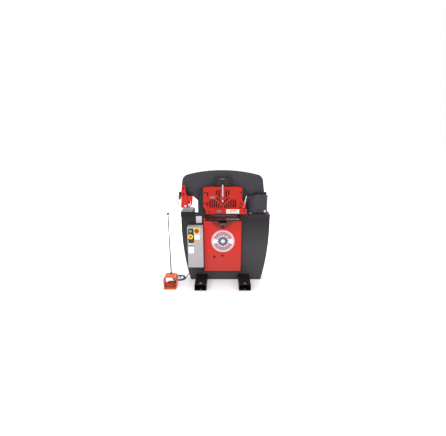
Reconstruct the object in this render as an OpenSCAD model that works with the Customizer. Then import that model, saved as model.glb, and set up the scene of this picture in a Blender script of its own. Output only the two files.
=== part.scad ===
// Hydraulic ironworker. One guided upper beam works a punch, two shears and a notcher.
// Millimetres, +Z up, the operator stands at -Y. The origin is the middle of the floor anchors.

/* [Frame] */
// Thickness of each frame plate
plate_t = 30; // [26:1:34]
// Front face of the front plate
front_y = -160; // [-166:1:-154]
// Bottom edge of the plates above the floor
plate_bottom_z = 8; // [5:1:14]
// Left edge of the plates at the bottom
body_left_low = -432; // [-442:1:-422]
// Left edge of the plates at the shoulder
body_left_top = -529; // [-538:1:-528]
// Right edge of the plates at the bottom
body_right_low = 512; // [500:1:522]
// Right edge of the plates at the shoulder
body_right_top = 601; // [599:1:612]
// Radius of the bowed side edges
bow_r = 3300; // [2900:100:4200]
// Height of the frame's two shoulders
shoulder_z = 905; // [900:1:908]
// Half width of the column
column_half = 312; // [308:1:318]
// Top of the column
column_top_z = 1239; // [1230:1:1250]
// Corner radius of the column
column_r = 40; // [20:1:60]
// Top of the step between the column and the punch
throat_z = 921; // [912:1:930]
// Thickness of the spacers under the bronze gibs
gib_backing = 44; // [38:1:46]
// Width of the side spacers at the bottom of the wings
edge_bar = 24; // [16:1:40]

/* [Skids] */
// Distance between the skid centres
skid_pitch = 560; // [540:5:580]
// Width of a skid tube
skid_w = 152; // [140:1:160]
// Height of a skid tube
skid_h = 88; // [84:1:94]
// Wall of a skid tube
skid_wall = 6; // [5:0.5:8]
// Length of a skid tube
skid_l = 880; // [860:5:900]
// Distance from an anchor hole to the end of its skid
anchor_inset = 25; // [22:1:40]
// Diameter of the floor anchor holes
anchor_d = 18; // [14:1:20]
// Wall of the anchor bushes
bush_wall = 5; // [3:0.5:6]

/* [Upper beam] */
// Thickness of the beam
beam_t = 57; // [50:1:60]
// Running gap between a beam face and a frame plate
beam_gap = 1.5; // [1:0.1:2]
// Top of the beam
beam_top_z = 1478; // [1470:1:1490]
// Radius of the crown
crown_r = 1750; // [1500:10:2200]
// Half width of the beam at its upper corners
beam_half = 503; // [496:1:510]
// Radius of the upper corners
beam_corner_r = 85; // [60:1:100]
// Lean of the beam's ends
beam_lean = 7.3; // [5:0.1:9]
// Underside of the beam's arms
arm_z = 1150; // [1145:1:1158]
// Underside of the beam at the column
haunch_z = 1096; // [1092:1:1105]
// Half width of the guided stem
stem_half = 255; // [250:1:258]
// Bottom of the stem
stem_bottom_z = 640; // [635:1:660]
// Stroke of the beam
stroke = 32; // [25:1:32]
// Running gap at the bronze gibs
gib_gap = 0.3; // [0.2:0.05:0.5]
// Half width of the guide key
key_half = 33; // [30:1:36]
// Length of the guide key
key_l = 112; // [104:1:120]
// Half width of the guide bracket
bracket_half = 102; // [95:1:108]
// Rise of the guide bracket above the column
bracket_rise = 158; // [150:1:164]
// Width of a bronze strip beside the key
bronze_w = 22; // [18:1:26]

/* [Angle shear] */
// Corner of the lower angle blade
angle_z = 1066; // [1062:1:1072]
// Upright opening between the angle blades
angle_open = 21; // [18:1:24]
// Half width of the angle blades
angle_half = 98; // [90:1:104]
// Upright depth of an angle blade
angle_blade_h = 42; // [36:1:46]
// Thickness of every shear blade
blade_t = 25; // [20:1:28]

/* [Flat bar shear] */
// Top of the feed table and of the lower blade
table_z = 915; // [912:1:918]
// Half length of the flat blades
flat_half = 190; // [180:1:194]
// Height of the lower flat blade
flat_blade_h = 50; // [40:1:56]
// Opening at the low end of the upper flat blade
flat_open = 13; // [10:1:16]
// Rise of the upper flat blade over its length
flat_rake = 16; // [12:1:18]
// Top of the upper flat blade
flat_top_z = 990; // [984:1:996]
// Height of the window in the plates over the table
flat_window = 70; // [60:1:75]
// Thickness of the feed table
table_t = 12; // [8:1:16]
// Left end of the feed table
table_left = -212; // [-218:1:-205]
// Right end of the feed table at the column
table_right = 214; // [208:1:220]
// Right end of the feed table at its front
table_right_front = 237; // [232:1:245]
// Front edge of the feed table
table_front_y = -388; // [-396:1:-380]
// Half width of the table bracket at its top
apron_half = 206; // [190:1:208]
// Half width of the table bracket at its bottom
apron_low_half = 51; // [45:1:60]
// Drop of the table bracket below the table
apron_drop = 140; // [125:1:150]
// Sheet thickness of the table bracket
apron_t = 6; // [4:1:8]
// Half width of the table clamp
clamp_half = 51; // [44:1:56]
// Height of the table clamp's bar
clamp_h = 42; // [36:1:46]
// Drop of the table clamp's bar below the table
clamp_drop = 75; // [65:1:80]
// Thickness of the table clamp
clamp_t = 14; // [10:1:18]
// Diameter of the clamp's bolt
clamp_bolt_d = 26; // [20:1:30]

/* [Shear guard] */
// Half width of the guard
guard_half = 241; // [236:1:246]
// Depth of the guard
guard_depth = 50; // [46:1:56]
// Sheet thickness of the guard
guard_t = 4; // [3:0.5:6]
// Top of the guard
guard_top_z = 1286; // [1280:1:1292]
// Bottom of the guard
guard_bottom_z = 944; // [940:1:948]
// Radius of the guard's top edge
guard_crown_r = 1980; // [1700:10:2400]
// Corner radius of the guard
guard_corner_r = 24; // [16:1:30]
// Width of the slot for angle bars, measured upright
guard_v = 21; // [18:1:23]
// Half width of the slot for angle bars
guard_v_half = 76; // [70:1:80]
// Width of a vent slot
vent_w = 14.5; // [11:0.5:16]
// Pitch of the vent slots
vent_pitch = 27; // [24:0.5:29]
// Bottom of the vent slots
vent_z = 1022; // [1018:1:1030]
// Height of the outer vent slots
vent_h = 107; // [90:1:112]
// Diameter of a guard bolt
guard_bolt_d = 10; // [8:1:12]
// Distance of the guard bolts from the centre
guard_bolt_x = 222; // [216:1:226]
// Diameter of the angle hold-down screw
screw_d = 20; // [18:1:24]
// Length of the angle hold-down screw
screw_l = 216; // [200:1:230]
// Lower end of the angle hold-down screw
screw_z = 1098; // [1096:1:1104]
// Height of the screw's threaded block
screw_block_h = 36; // [30:1:44]
// Left end of the hold-down bar
bar_left = -208; // [-214:1:-200]
// Right end of the hold-down bar
bar_right = 301; // [296:1:308]
// Height of the hold-down bar
bar_h = 62; // [56:1:70]
// Thickness of the hold-down bar
bar_t = 12; // [10:1:14]
// Travel of the hold-down bar
bar_travel = 18; // [12:1:20]
// Diameter of the hold-down bolts
bar_bolt_d = 12; // [10:1:14]
// Distance of a hold-down bolt from the bar's end
bar_bolt_inset = 32; // [26:1:40]
// Sideways place of the lever's pivot
lever_x = 262; // [258:1:268]
// Height of the lever's pivot
lever_z = 1042; // [1038:1:1048]
// Diameter of the lever's pivot pin
lever_pin_d = 16; // [12:1:18]
// Length of the lever from pivot to tip
lever_l = 138; // [120:1:150]
// Lean of the lever at rest
lever_lean = 11.3; // [8:0.1:15]
// Diameter of the lever's handle
lever_d = 14; // [11:0.5:15]

/* [Front door] */
// Left edge of the door
door_left = -239; // [-244:1:-234]
// Right edge of the door
door_right = 237; // [234:1:244]
// Bottom edge of the door
door_bottom_z = 154; // [148:1:156]
// Top edge of the door
door_top_z = 880; // [874:1:884]
// Depth of the door
door_depth = 46; // [42:1:50]
// Sheet thickness of the door
door_t = 2.5; // [2:0.5:4]
// Diameter of the two access holes
access_d = 25; // [20:1:30]

/* [Hydraulic cylinder] */
// Outer diameter of the barrel
barrel_d = 172; // [166:1:174]
// Bore of the barrel
bore_d = 150; // [140:1:152]
// Diameter of the piston rod
ram_d = 70; // [60:1:75]
// Diameter of the rod's end in the stem
spigot_d = 40; // [32:1:42]
// Radial running gap of rod and piston
hydraulic_gap = 0.05; // [0.03:0.01:0.09]
// Top of the cylinder's base block
base_top_z = 159; // [159:1:163]
// Top of the barrel
barrel_top_z = 560; // [550:1:564]
// Height of the gland
gland_h = 34; // [28:1:36]
// Thickness of the barrel's bottom
barrel_floor = 20; // [16:1:26]
// Height of the piston
piston_h = 50; // [40:1:60]
// Depth of the rod's seat in the stem
ram_seat = 60; // [50:1:70]
// Diameter of the oil ports
port_d = 36; // [30:1:40]

/* [Power unit] */
// Half width of the rear cover
cover_half = 285; // [278:1:290]
// Depth of the rear cover behind the rear plate
cover_depth = 345; // [335:1:355]
// Top of the rear cover
cover_top_z = 790; // [780:1:800]
// Sheet thickness of the rear cover
cover_t = 2; // [1.5:0.5:3]
// Half width of the oil tank
tank_half = 230; // [225:1:240]
// Depth of the oil tank
tank_depth = 210; // [200:1:215]
// Height of the oil tank
tank_h = 250; // [240:1:260]
// Gap between the tank and the rear cover
tank_gap = 20; // [15:1:25]
// Diameter of the motor
motor_d = 180; // [170:1:190]
// Height of the motor
motor_h = 290; // [270:1:310]
// Width of the valve block
valve_w = 90; // [80:1:100]
// Height of the valve block
valve_h = 90; // [80:1:100]
// Diameter of the oil pipes
pipe_d = 18; // [14:1:20]

/* [Electrical box] */
// Left side of the box
box_left = -445; // [-448:1:-440]
// Width of the box
box_w = 196; // [190:1:198]
// Bottom of the box
box_bottom_z = 238; // [230:1:245]
// Height of the box
box_h = 545; // [535:1:555]
// Depth of the box behind its door
box_depth = 98; // [92:1:110]
// Depth of the box door
lid_depth = 12; // [10:1:15]
// Sheet thickness of the box
box_t = 2; // [1.5:0.5:3]
// Diameter of the hinge knuckles
knuckle_d = 10; // [8:1:10]
// Diameter of the hinge pins
hinge_pin_d = 5; // [4:0.5:5]
// Length of a hinge knuckle
knuckle_l = 24; // [20:1:30]
// Thickness of the control plate
panel_t = 3; // [2:0.5:4]
// Diameter of the start button
start_d = 24; // [20:1:26]
// Diameter of the stop button
stop_d = 30; // [26:1:36]
// Diameter of the ring behind the stop button
stop_ring_d = 66; // [60:1:70]
// Diameter of the disconnect knob
disconnect_d = 56; // [50:1:60]
// Travel of the push buttons
button_travel = 4; // [3:0.5:5]
// Diameter of the button stems
stem_d = 14; // [12:1:16]

/* [Punch] */
// Sideways place of the punch
punch_x = -445; // [-450:1:-440]
// Thickness of the die table
die_table_t = 62; // [58:1:64]
// Width of the die table
die_table_w = 162; // [154:1:164]
// Depth of the die table
die_table_depth = 206; // [196:1:212]
// Thickness of the die holder
die_holder_t = 18; // [16:1:20]
// Width of the die holder
die_holder_w = 140; // [130:1:150]
// Depth of the die holder
die_holder_depth = 184; // [170:1:190]
// Outer diameter of the die
die_d = 56; // [50:1:60]
// Height of the die
die_h = 30; // [26:1:34]
// Diameter of the punch
punch_d = 20; // [14:1:22]
// Gap between punch and die, on the radius
die_gap = 0.4; // [0.3:0.1:0.6]
// Height of the punch tip above the die
punch_lift = 27; // [25:1:28]
// Diameter of the coupling nut
nut_d = 64; // [56:1:70]
// Height of the coupling nut
nut_h = 42; // [36:1:46]
// Height of the ram above the nut
ram_h = 70; // [64:1:76]
// Front of the punch guard
punch_guard_y = -200; // [-206:1:-196]
// Thickness of the punch guard
punch_guard_t = 6; // [5:1:8]
// Height of the punch guard above the die holder
punch_guard_lift = 34; // [33:1:38]
// Height adjustment of the punch guard
guard_adjust = 18; // [12:1:20]
// Diameter of the punch guard's studs
stud_d = 12; // [10:1:14]
// Width of the shroud
shroud_w = 72; // [66:1:74]
// Height of the shroud
shroud_h = 150; // [140:1:156]

/* [Notcher] */
// Left end of the notcher table
notch_left = 328; // [324:1:334]
// Width of the notcher table
notch_w = 258; // [252:1:262]
// Depth of the notcher table
notch_depth = 256; // [246:1:262]
// Thickness of the notcher table
notch_t = 45; // [40:1:48]
// Thickness of the notcher die
notch_die_t = 18; // [14:1:24]
// Width of the notcher blade
notch_blade_w = 80; // [70:1:84]
// Depth of the notcher blade
notch_blade_depth = 50; // [44:1:52]
// Gap round the notcher blade in its die
notch_gap = 0.5; // [0.4:0.1:0.8]
// Height of the notcher blade above its die
notch_lift = 20; // [18:1:22]
// Sheet thickness of the notcher guard
notch_guard_t = 3; // [2:0.5:4]
// Front of the notcher guard
notch_guard_y = -213; // [-216:1:-208]
// Right side of the notcher guard
notch_guard_right = 546; // [543:1:550]
// Top of the notcher guard
notch_guard_top_z = 1190; // [1180:1:1196]
// Height of the notcher guard above the table
notch_guard_lift = 4; // [3:1:8]

/* [Foot pedal] */
// Sideways place of the pedal
pedal_x = -671; // [-680:1:-666]
// Middle of the pedal from front to back
pedal_y = -322; // [-326:1:-318]
// Width of the pedal's base
pedal_w = 156; // [150:1:166]
// Length of the pedal's base
pedal_l = 186; // [180:1:190]
// Thickness of the pedal's base
pedal_base_t = 10; // [8:1:12]
// Half width of the hood at its widest
hood_half = 84; // [80:1:90]
// Height of the hood
hood_h = 158; // [150:1:166]
// Height of the hood's widest place
hood_belly_z = 90; // [80:1:100]
// Length of the hood
hood_l = 126; // [118:1:132]
// Wall of the hood
hood_wall = 6; // [5:0.5:8]
// Diameter of the treadle's pin
treadle_pin_d = 10; // [8:1:12]
// Radial running gap of the treadle on its pin
treadle_gap = 0.08; // [0.05:0.01:0.1]
// Thickness of the treadle
treadle_t = 8; // [6:1:10]
// Half width of the treadle
treadle_half = 52; // [46:1:56]
// Length of the treadle
treadle_l = 96; // [88:1:98]
// Slope of the treadle at rest
treadle_slope = 9; // [8.5:0.5:11]
// Height of the treadle's pin
treadle_z = 28; // [27:1:32]
// Diameter of the carrying rod
rod_d = 13; // [10:1:16]
// Length of the carrying rod
rod_l = 806; // [780:2:830]
// Diameter of the ball knob
ball_d = 30; // [26:1:36]

/* [Cord] */
// Diameter of the pedal cord
cord_d = 8; // [7:0.5:8.5]
// Height of the pedal's gland
gland_z = 32; // [30:1:36]
// Diameter of a cord gland
gland_d = 18; // [16:1:22]
// Length of a cord gland
gland_l = 16; // [12:1:18]

/* [Hidden] */
// Gap at seats where bolted pieces lie face to face
seat = 0.2;
// Overshoot of cuts
over = 1;
// Facets of round pieces
$fn = 64;
// Facets of the long arcs
long_arc = 720;
// Steel bolt heads
head_t = 7;

front_in_y = front_y + plate_t;
beam_y0 = front_in_y + beam_gap;
beam_y1 = beam_y0 + beam_t;
beam_mid_y = (beam_y0 + beam_y1) / 2;
rear_y0 = beam_y1 + beam_gap;
rear_y1 = rear_y0 + plate_t;
body_reach = max(-body_left_top, body_right_top) + 100;
guard_y = front_y - guard_depth;
lower_blade_y1 = beam_y0 - gib_gap;
flat_low_z = table_z + flat_open;
left_table_top_z = shoulder_z + seat + die_table_t;
die_top_z = left_table_top_z + seat + die_holder_t;
notch_top_z = shoulder_z + seat + notch_t;
notch_die_z = notch_top_z + seat + notch_die_t;
key_bottom_z = column_top_z + stroke + 3 * over;
key_top_z = key_bottom_z + key_l;
bracket_top_z = column_top_z + bracket_rise;
throat_left = punch_x + die_table_w / 2 + 2 * over;
gib_top_z = haunch_z - stroke - 2 * over;
bracket_t = 24;
bracket_y = front_y - seat - bracket_t;
bar_y1 = guard_y - gib_gap;
bar_y0 = bar_y1 - bar_t;
bar_z = guard_bottom_z;
bar_bolts = [bar_left + bar_bolt_inset, bar_right - bar_bolt_inset];
bar_bolt_z = bar_z + bar_h * 0.6;
screw_y = guard_y - screw_d;
lever_y0 = bar_y0 - head_t - lever_d - 2 * seat;
lever_seat = 20;
door_y = front_y - door_depth;
apron_y = door_y - apron_t - 12;
lid_y = front_y - box_depth - lid_depth;
box_right = box_left + box_w;
box_top_z = box_bottom_z + box_h;
hinge_x = box_left - knuckle_d / 2 - gib_gap;
hinge_y = lid_y + lid_depth / 2;
panel_y = lid_y - seat - panel_t;
button_x = box_left + 0.209 * box_w;
start_z = box_top_z - 0.0845 * box_h;
stop_z = start_z - 0.1358 * box_h;
disconnect_x = button_x + 0.398 * box_w;
disconnect_z = start_z + 2 * over;
hinge_inset = 0.128 * box_h;
punch_tip_z = die_top_z + punch_lift;
nut_z = punch_tip_z + 40;
ram_z = nut_z + nut_h;
punch_guard_z = die_top_z + punch_guard_lift;
table_overhang = 48;
seam_x = punch_x + 4;
arm_high_h = shroud_h * 1.9;
arm_bend_h = shroud_h * 1.42;
arm_foot_w = shroud_w * 1.13;
arm_top_w = shroud_w * 0.78;
arm_inset = shroud_w * 0.24;
guard_knuckle_d = 8;
guard_hinge_y = punch_guard_y - guard_knuckle_d / 4;
stud_x = seam_x - (arm_inset + arm_top_w) * 0.57;
stud_z = [punch_guard_z + shroud_h * 1.19, punch_guard_z + shroud_h * 1.67];
end_bracket_x = beam_half * 1.1;
bracket_low_z = arm_z - 1.5 * plate_t;
bracket_high_z = arm_z + 1.75 * plate_t;
shield_w = 35;
notch_x = notch_left + 0.442 * notch_w;
guard_flange_w = 74;
guard_bolt_z = [guard_top_z - 70, guard_top_z - 208];
guard_slot_z = [guard_top_z - 121, guard_top_z - 246];
guard_slot_h = 58;
ear_x = lever_x + 1.5 * lever_pin_d;
ear_z = lever_z + 2 * lever_pin_d;
hood_y0 = pedal_y - pedal_l / 2 + 25;
hood_y1 = hood_y0 + hood_l;
hood_tuck = 8;
hood_round = 0.42;
treadle_y = hood_y0 + 18;
rod_y = hood_y1 - 16;
rod_z = hood_h + seat;
boss_z = gland_z + gland_d;
pedal_gland_x = pedal_x + 41;
pedal_gland_y = pedal_y + pedal_l / 2 - over;
machine_gland_x = -385;
machine_gland_z = 60;
cover_y1 = rear_y1 + cover_depth;
tank_y1 = cover_y1 - cover_t - tank_gap;
tank_y0 = tank_y1 - tank_depth;
floor_z = skid_h + seat;
tank_top_z = floor_z + tank_h;
gland_top_z = barrel_top_z + gland_h;
port_y = beam_mid_y + barrel_d / 2 + 18;

function arc_centre(p, q, r, side) =
  let (d = q - p, l = norm(d), h = sqrt(r * r - l * l / 4))
  (p + q) / 2 + side * [d[1], -d[0]] / l * h;
left_centre = arc_centre([body_left_low, plate_bottom_z], [body_left_top, shoulder_z], bow_r, 1);
right_centre = arc_centre([body_right_low, plate_bottom_z], [body_right_top, shoulder_z], bow_r, -1);

module block(lo, hi) translate(lo) cube(hi - lo);
module disc_y(c, r, y0, y1) translate([c[0], y0, c[1]]) rotate([-90, 0, 0]) cylinder(r = r, h = y1 - y0);
module disc_z(c, r, z0, z1) translate([c[0], c[1], z0]) cylinder(r = r, h = z1 - z0);
module disc_x(c, r, x0, x1) translate([x0, c[0], c[1]]) rotate([0, 90, 0]) cylinder(r = r, h = x1 - x0);
module prism_y(pts, y0, y1) translate([0, y1, 0]) rotate([90, 0, 0]) linear_extrude(y1 - y0) polygon(pts);
module slot_y(x, z0, z1, w, y0, y1) {
  block([x - w / 2, y0, z0 + w / 2], [x + w / 2, y1, z1 - w / 2]);
  disc_y([x, z0 + w / 2], w / 2, y0, y1);
  disc_y([x, z1 - w / 2], w / 2, y0, y1);
}
module v_band(z0, z1, half, y0, y1)
  prism_y([[0, z0], [half, z0 + half], [half, z1 + half], [0, z1], [-half, z1 + half],
    [-half, z0 + half]], y0, y1);
module between(p, q, r) {
  d = q - p;
  translate(p) rotate([0, acos(d[2] / norm(d)), atan2(d[1], d[0])]) cylinder(r = r, h = norm(d));
}
function crown_corner(half, top, r, corner) =
  [half - corner, top - r + sqrt(pow(r - corner, 2) - pow(half - corner, 2))];
function crown_side(half, top, r, corner, lean, z) =
  let (s = crown_corner(half, top, r, corner) + corner * [cos(lean), sin(lean)])
  s[0] + (s[1] - z) * tan(lean);
module crowned(half, z0, top, r, corner, lean, y0, y1) {
  zc = top - r;
  c = crown_corner(half, top, r, corner);
  t = [c[0], c[1] - zc] * r / (r - corner) + [0, zc];
  s = c + corner * [cos(lean), sin(lean)];
  foot = crown_side(half, top, r, corner, lean, z0);
  intersection() {
    prism_y([[foot, z0], s, t, [t[0], top], [-t[0], top], [-t[0], t[1]], [-s[0], s[1]],
      [-foot, z0]], y0, y1);
    disc_y([0, zc], r, y0, y1, $fn = long_arc);
  }
  for (m = [-1, 1]) disc_y([m * c[0], c[1]], corner, y0, y1);
}

module body_slab(y0, y1) intersection() {
  block([-body_reach, y0, plate_bottom_z], [body_reach, y1, shoulder_z]);
  disc_y(left_centre, bow_r, y0, y1, $fn = long_arc);
  disc_y(right_centre, bow_r, y0, y1, $fn = long_arc);
}
module column(y0, y1) {
  block([-column_half, y0, shoulder_z - over], [column_half, y1, column_top_z - column_r]);
  block([-column_half + column_r, y0, shoulder_z], [column_half - column_r, y1, column_top_z]);
  for (m = [-1, 1]) disc_y([m * (column_half - column_r), column_top_z - column_r], column_r, y0, y1);
}
module frame_plate(y0, y1) difference() {
  union() {
    body_slab(y0, y1);
    column(y0, y1);
    block([throat_left, y0, shoulder_z - over], [0, y1, throat_z]);
  }
  for (m = [-1, 1]) block(
    [m * skid_pitch / 2 - skid_w / 2 - seat, y0 - over, 0],
    [m * skid_pitch / 2 + skid_w / 2 + seat, y1 + over, skid_h + seat]);
  v_band(angle_z - angle_blade_h - seat, angle_z + angle_open + plate_t, angle_half + seat, y0 - over,
    y1 + over);
  block([-flat_half - seat, y0 - over, table_z - flat_blade_h - seat],
    [flat_half + seat, y1 + over, table_z + flat_window]);
  block([-barrel_d / 2 - plate_t, y0 - over, base_top_z + seat],
    [barrel_d / 2 + plate_t, y1 + over, stem_bottom_z - stroke]);
}

module front_plate() color("dimgray") difference() {
  frame_plate(front_y, front_in_y);
  disc_y([lever_x, lever_z], lever_pin_d / 2 + treadle_gap, front_y - over, front_y + lever_seat);
  slot_y(bar_bolts[1], bar_bolt_z - bar_travel - bar_bolt_d, bar_bolt_z + bar_bolt_d, bar_bolt_d + 4 * seat,
    front_y - over, front_y + lever_seat);
}
module rear_plate() color("dimgray") frame_plate(rear_y0, rear_y1);
module frame_spacers() color("dimgray") {
  inner_left = body_left_low + edge_bar;
  inner_right = body_right_low - edge_bar;
  y0 = front_in_y + seat;
  y1 = rear_y0 - seat;
  intersection() {
    body_slab(y0, y1);
    union() {
      block([-body_reach, y0, floor_z], [inner_left, y1, shoulder_z]);
      block([inner_right, y0, floor_z], [body_reach, y1, shoulder_z]);
    }
  }
  for (m = [-1, 1]) {
    lo = m < 0 ? -column_half : column_half - gib_backing;
    block([lo, y0, stem_bottom_z], [lo + gib_backing, y1, gib_top_z]);
  }
}
module rounded_tube(w, h, r, l) {
  block([-w / 2 + r, -l / 2, 0], [w / 2 - r, l / 2, h]);
  block([-w / 2, -l / 2, r], [w / 2, l / 2, h - r]);
  for (x = [-w / 2 + r, w / 2 - r], z = [r, h - r]) disc_y([x, z], r, -l / 2, l / 2);
}
module skid(side) translate([side * skid_pitch / 2, 0, 0]) difference() {
  rounded_tube(skid_w, skid_h, skid_wall * 1.5, skid_l);
  translate([0, 0, skid_wall])
    rounded_tube(skid_w - 2 * skid_wall, skid_h - 2 * skid_wall, skid_wall / 2, skid_l + 2 * over);
  for (y = [-skid_l / 2 + anchor_inset, skid_l / 2 - anchor_inset]) {
    disc_z([0, y], anchor_d / 2, -over, skid_h);
    disc_z([0, y], anchor_d / 2 + bush_wall + seat, skid_h / 2, skid_h + over);
  }
}
module skids() color("black") for (m = [-1, 1]) skid(m);
module anchor_bushes() color("lightsteelblue")
  for (x = [-1, 1], y = [-1, 1])
    translate([x * skid_pitch / 2, y * (skid_l / 2 - anchor_inset), 0]) difference() {
      union() {
        disc_z([0, 0], anchor_d / 2 + bush_wall, skid_h - skid_wall, skid_h + seat + over);
        disc_z([0, 0], anchor_d / 2 + 2 * bush_wall, skid_h + seat, skid_h + seat + bush_wall);
      }
      disc_z([0, 0], anchor_d / 2, 0, skid_h * 2);
    }

module guide_bracket() color("dimgray") {
  slot_half = key_half + gib_gap + bronze_w + seat;
  foot_z = column_top_z - 60;
  slot_z = key_bottom_z - stroke - 2 * over;
  difference() {
    union() {
      block([-bracket_half, bracket_y, foot_z], [bracket_half, front_y - seat, bracket_top_z]);
      block([-bracket_half, front_y - seat - over, column_top_z + seat],
        [bracket_half, beam_y0 - beam_gap, bracket_top_z]);
    }
    block([-slot_half, bracket_y - over, slot_z], [slot_half, beam_y0, bracket_top_z + over]);
  }
}
module bronze_strips() color("peru")
  for (m = [0, 1]) mirror([m, 0, 0]) {
    block([stem_half + gib_gap, beam_y0, stem_bottom_z],
      [column_half - gib_backing - seat, beam_y1, gib_top_z]);
    block([key_half + gib_gap, bracket_y, column_top_z + over + seat],
      [key_half + gib_gap + bronze_w, beam_y0 - beam_gap, key_top_z]);
  }
module cylinder_base() color("dimgray")
  block([-skid_pitch / 2 + skid_w / 2 + seat + over, front_in_y + seat, plate_bottom_z],
    [skid_pitch / 2 - skid_w / 2 - seat - over, rear_y0 - seat, base_top_z]);
module cylinder_barrel() color("silver") {
  c = [0, beam_mid_y];
  z0 = base_top_z + seat;
  difference() {
    union() {
      disc_z(c, barrel_d / 2, z0, gland_top_z);
      for (z = [z0 + 60, barrel_top_z - 30]) disc_y([0, z], port_d / 2, beam_mid_y, port_y);
    }
    disc_z(c, bore_d / 2, z0 + barrel_floor, barrel_top_z);
    disc_z(c, ram_d / 2 + hydraulic_gap, barrel_top_z - over, gland_top_z + over);
  }
}
module cylinder_rod() color("gainsboro") {
  c = [0, beam_mid_y];
  z0 = barrel_top_z - piston_h - 8;
  disc_z(c, bore_d / 2 - hydraulic_gap, z0, z0 + piston_h);
  disc_z(c, ram_d / 2, z0, stem_bottom_z - stroke - 2 * over);
  disc_z(c, spigot_d / 2, z0, stem_bottom_z + ram_seat - seat);
}

module lower_angle_blade() color("silver")
  v_band(angle_z - angle_blade_h, angle_z, angle_half, lower_blade_y1 - blade_t, lower_blade_y1);
module lower_flat_blade() color("silver")
  block([-flat_half, lower_blade_y1 - blade_t, table_z - flat_blade_h],
    [flat_half, lower_blade_y1, table_z]);
module upper_angle_blade() color("silver")
  v_band(angle_z + angle_open, angle_z + angle_open + angle_blade_h, angle_half, beam_y0,
    beam_y0 + blade_t);
module upper_flat_blade() color("silver")
  prism_y([[-flat_half, flat_low_z], [flat_half, flat_low_z + flat_rake],
    [flat_half, flat_top_z], [-flat_half, flat_top_z]], beam_y0, beam_y0 + blade_t);

module guard_body(inset, y0, y1)
  crowned(guard_half - inset, guard_bottom_z - inset, guard_top_z - inset, guard_crown_r,
    guard_corner_r, 0, y0, y1);
module shear_guard() color("red") {
  step_x = bar_left;
  difference() {
    guard_body(0, guard_y, front_y - seat);
    guard_body(guard_t, guard_y + guard_t, front_y);
    prism_y([[-guard_half - over, guard_bottom_z - over], [step_x, guard_bottom_z - over],
      [step_x, guard_bottom_z + 0.6 * bar_h],
        [-guard_half - over, guard_bottom_z + 1.6 * bar_h]], guard_y - over, front_y);
    block([-bracket_half - over, guard_y + guard_t, guard_top_z - 50],
      [bracket_half + over, front_y, guard_top_z + over]);
    v_band(angle_z - over, angle_z + guard_v, guard_v_half, guard_y - over, guard_y + 2 * guard_t);
    for (m = [-1, 1], i = [0:5]) {
      x = vent_w * 1.5 + vent_pitch * i;
      slot_y(m * x, vent_z, min(vent_z + vent_h, angle_z - 36 + x), vent_w, guard_y - over,
        guard_y + 2 * guard_t);
    }
    for (m = [-1, 1], i = [0:1])
      slot_y(m * (45 + 30 * i), guard_top_z - 131 + 29 * i, guard_top_z - 39, vent_w,
        guard_y - over, guard_y + 2 * guard_t);
    for (z = guard_slot_z)
      slot_y(-guard_bolt_x + 34, z, z + guard_slot_h, guard_bolt_d + over, guard_y - over,
        guard_y + 2 * guard_t);
    for (x = [-1, 1], z = guard_bolt_z)
      disc_y([x * guard_bolt_x, z], guard_bolt_d / 2 + seat, guard_y - over, guard_y + 2 * guard_t);
    slot_y(bar_bolts[0], bar_bolt_z - bar_travel - bar_bolt_d, bar_bolt_z + bar_bolt_d,
      bar_bolt_d + 4 * seat,
      guard_y - over, guard_y + 2 * guard_t);
  }
  difference() {
    prism_y([[guard_half - over, bar_z + bar_h + 2 * over], [ear_x, bar_z + bar_h + 2 * over],
      [ear_x, ear_z],
      [guard_half - over, ear_z + 2 * (ear_x - guard_half) * 0.6]], guard_y, guard_y + guard_t);
    disc_y([lever_x, lever_z], lever_pin_d / 2 + seat, guard_y - over, guard_y + 2 * guard_t);
  }
  difference() {
    block([-screw_d, screw_y - screw_d, screw_z + 32],
      [screw_d, guard_y + over, screw_z + 32 + screw_block_h]);
    disc_z([0, screw_y], screw_d / 2 + gib_gap, screw_z, screw_z + screw_l);
  }
}
module guard_bolts() color("darkslategray")
  for (x = [-1, 1], z = guard_bolt_z) {
    disc_y([x * guard_bolt_x, z], guard_bolt_d * 0.9, guard_y - seat - head_t / 2, guard_y - seat);
    disc_y([x * guard_bolt_x, z], guard_bolt_d / 2, guard_y - seat - over, front_y - seat);
  }
module angle_screw() color("silver") disc_z([0, screw_y], screw_d / 2, screw_z, screw_z + screw_l);
module hold_down_bar() color("red") {
  block([bar_left, bar_y0, bar_z], [bar_right, bar_y1, bar_z + bar_h]);
  for (i = [0, 1]) {
    bolt_end = i == 0 ? guard_y + 2 * guard_t : front_y + lever_seat - 2 * over;
    disc_y([bar_bolts[i], bar_bolt_z], bar_bolt_d * 0.8, bar_y0 - head_t, bar_y0 + over);
    disc_y([bar_bolts[i], bar_bolt_z], bar_bolt_d / 2, bar_y0, bolt_end);
  }
}
module hold_down_lever() color("red") {
  hub_r = lever_pin_d / 2 + 7;
  y1 = lever_y0 + lever_d;
  disc_y([lever_x, lever_z], lever_pin_d / 2, lever_y0 + over, front_y + lever_seat - over);
  translate([lever_x, 0, lever_z]) rotate([0, lever_lean, 0]) {
    disc_y([0, 0], hub_r, lever_y0, y1);
    block([-hub_r * 0.7, lever_y0, 0], [hub_r * 0.7, y1, lever_l * 0.36]);
    translate([0, (lever_y0 + y1) / 2, lever_l * 0.3]) cylinder(d = lever_d * 0.9, h = lever_l * 0.7);
  }
}

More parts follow.
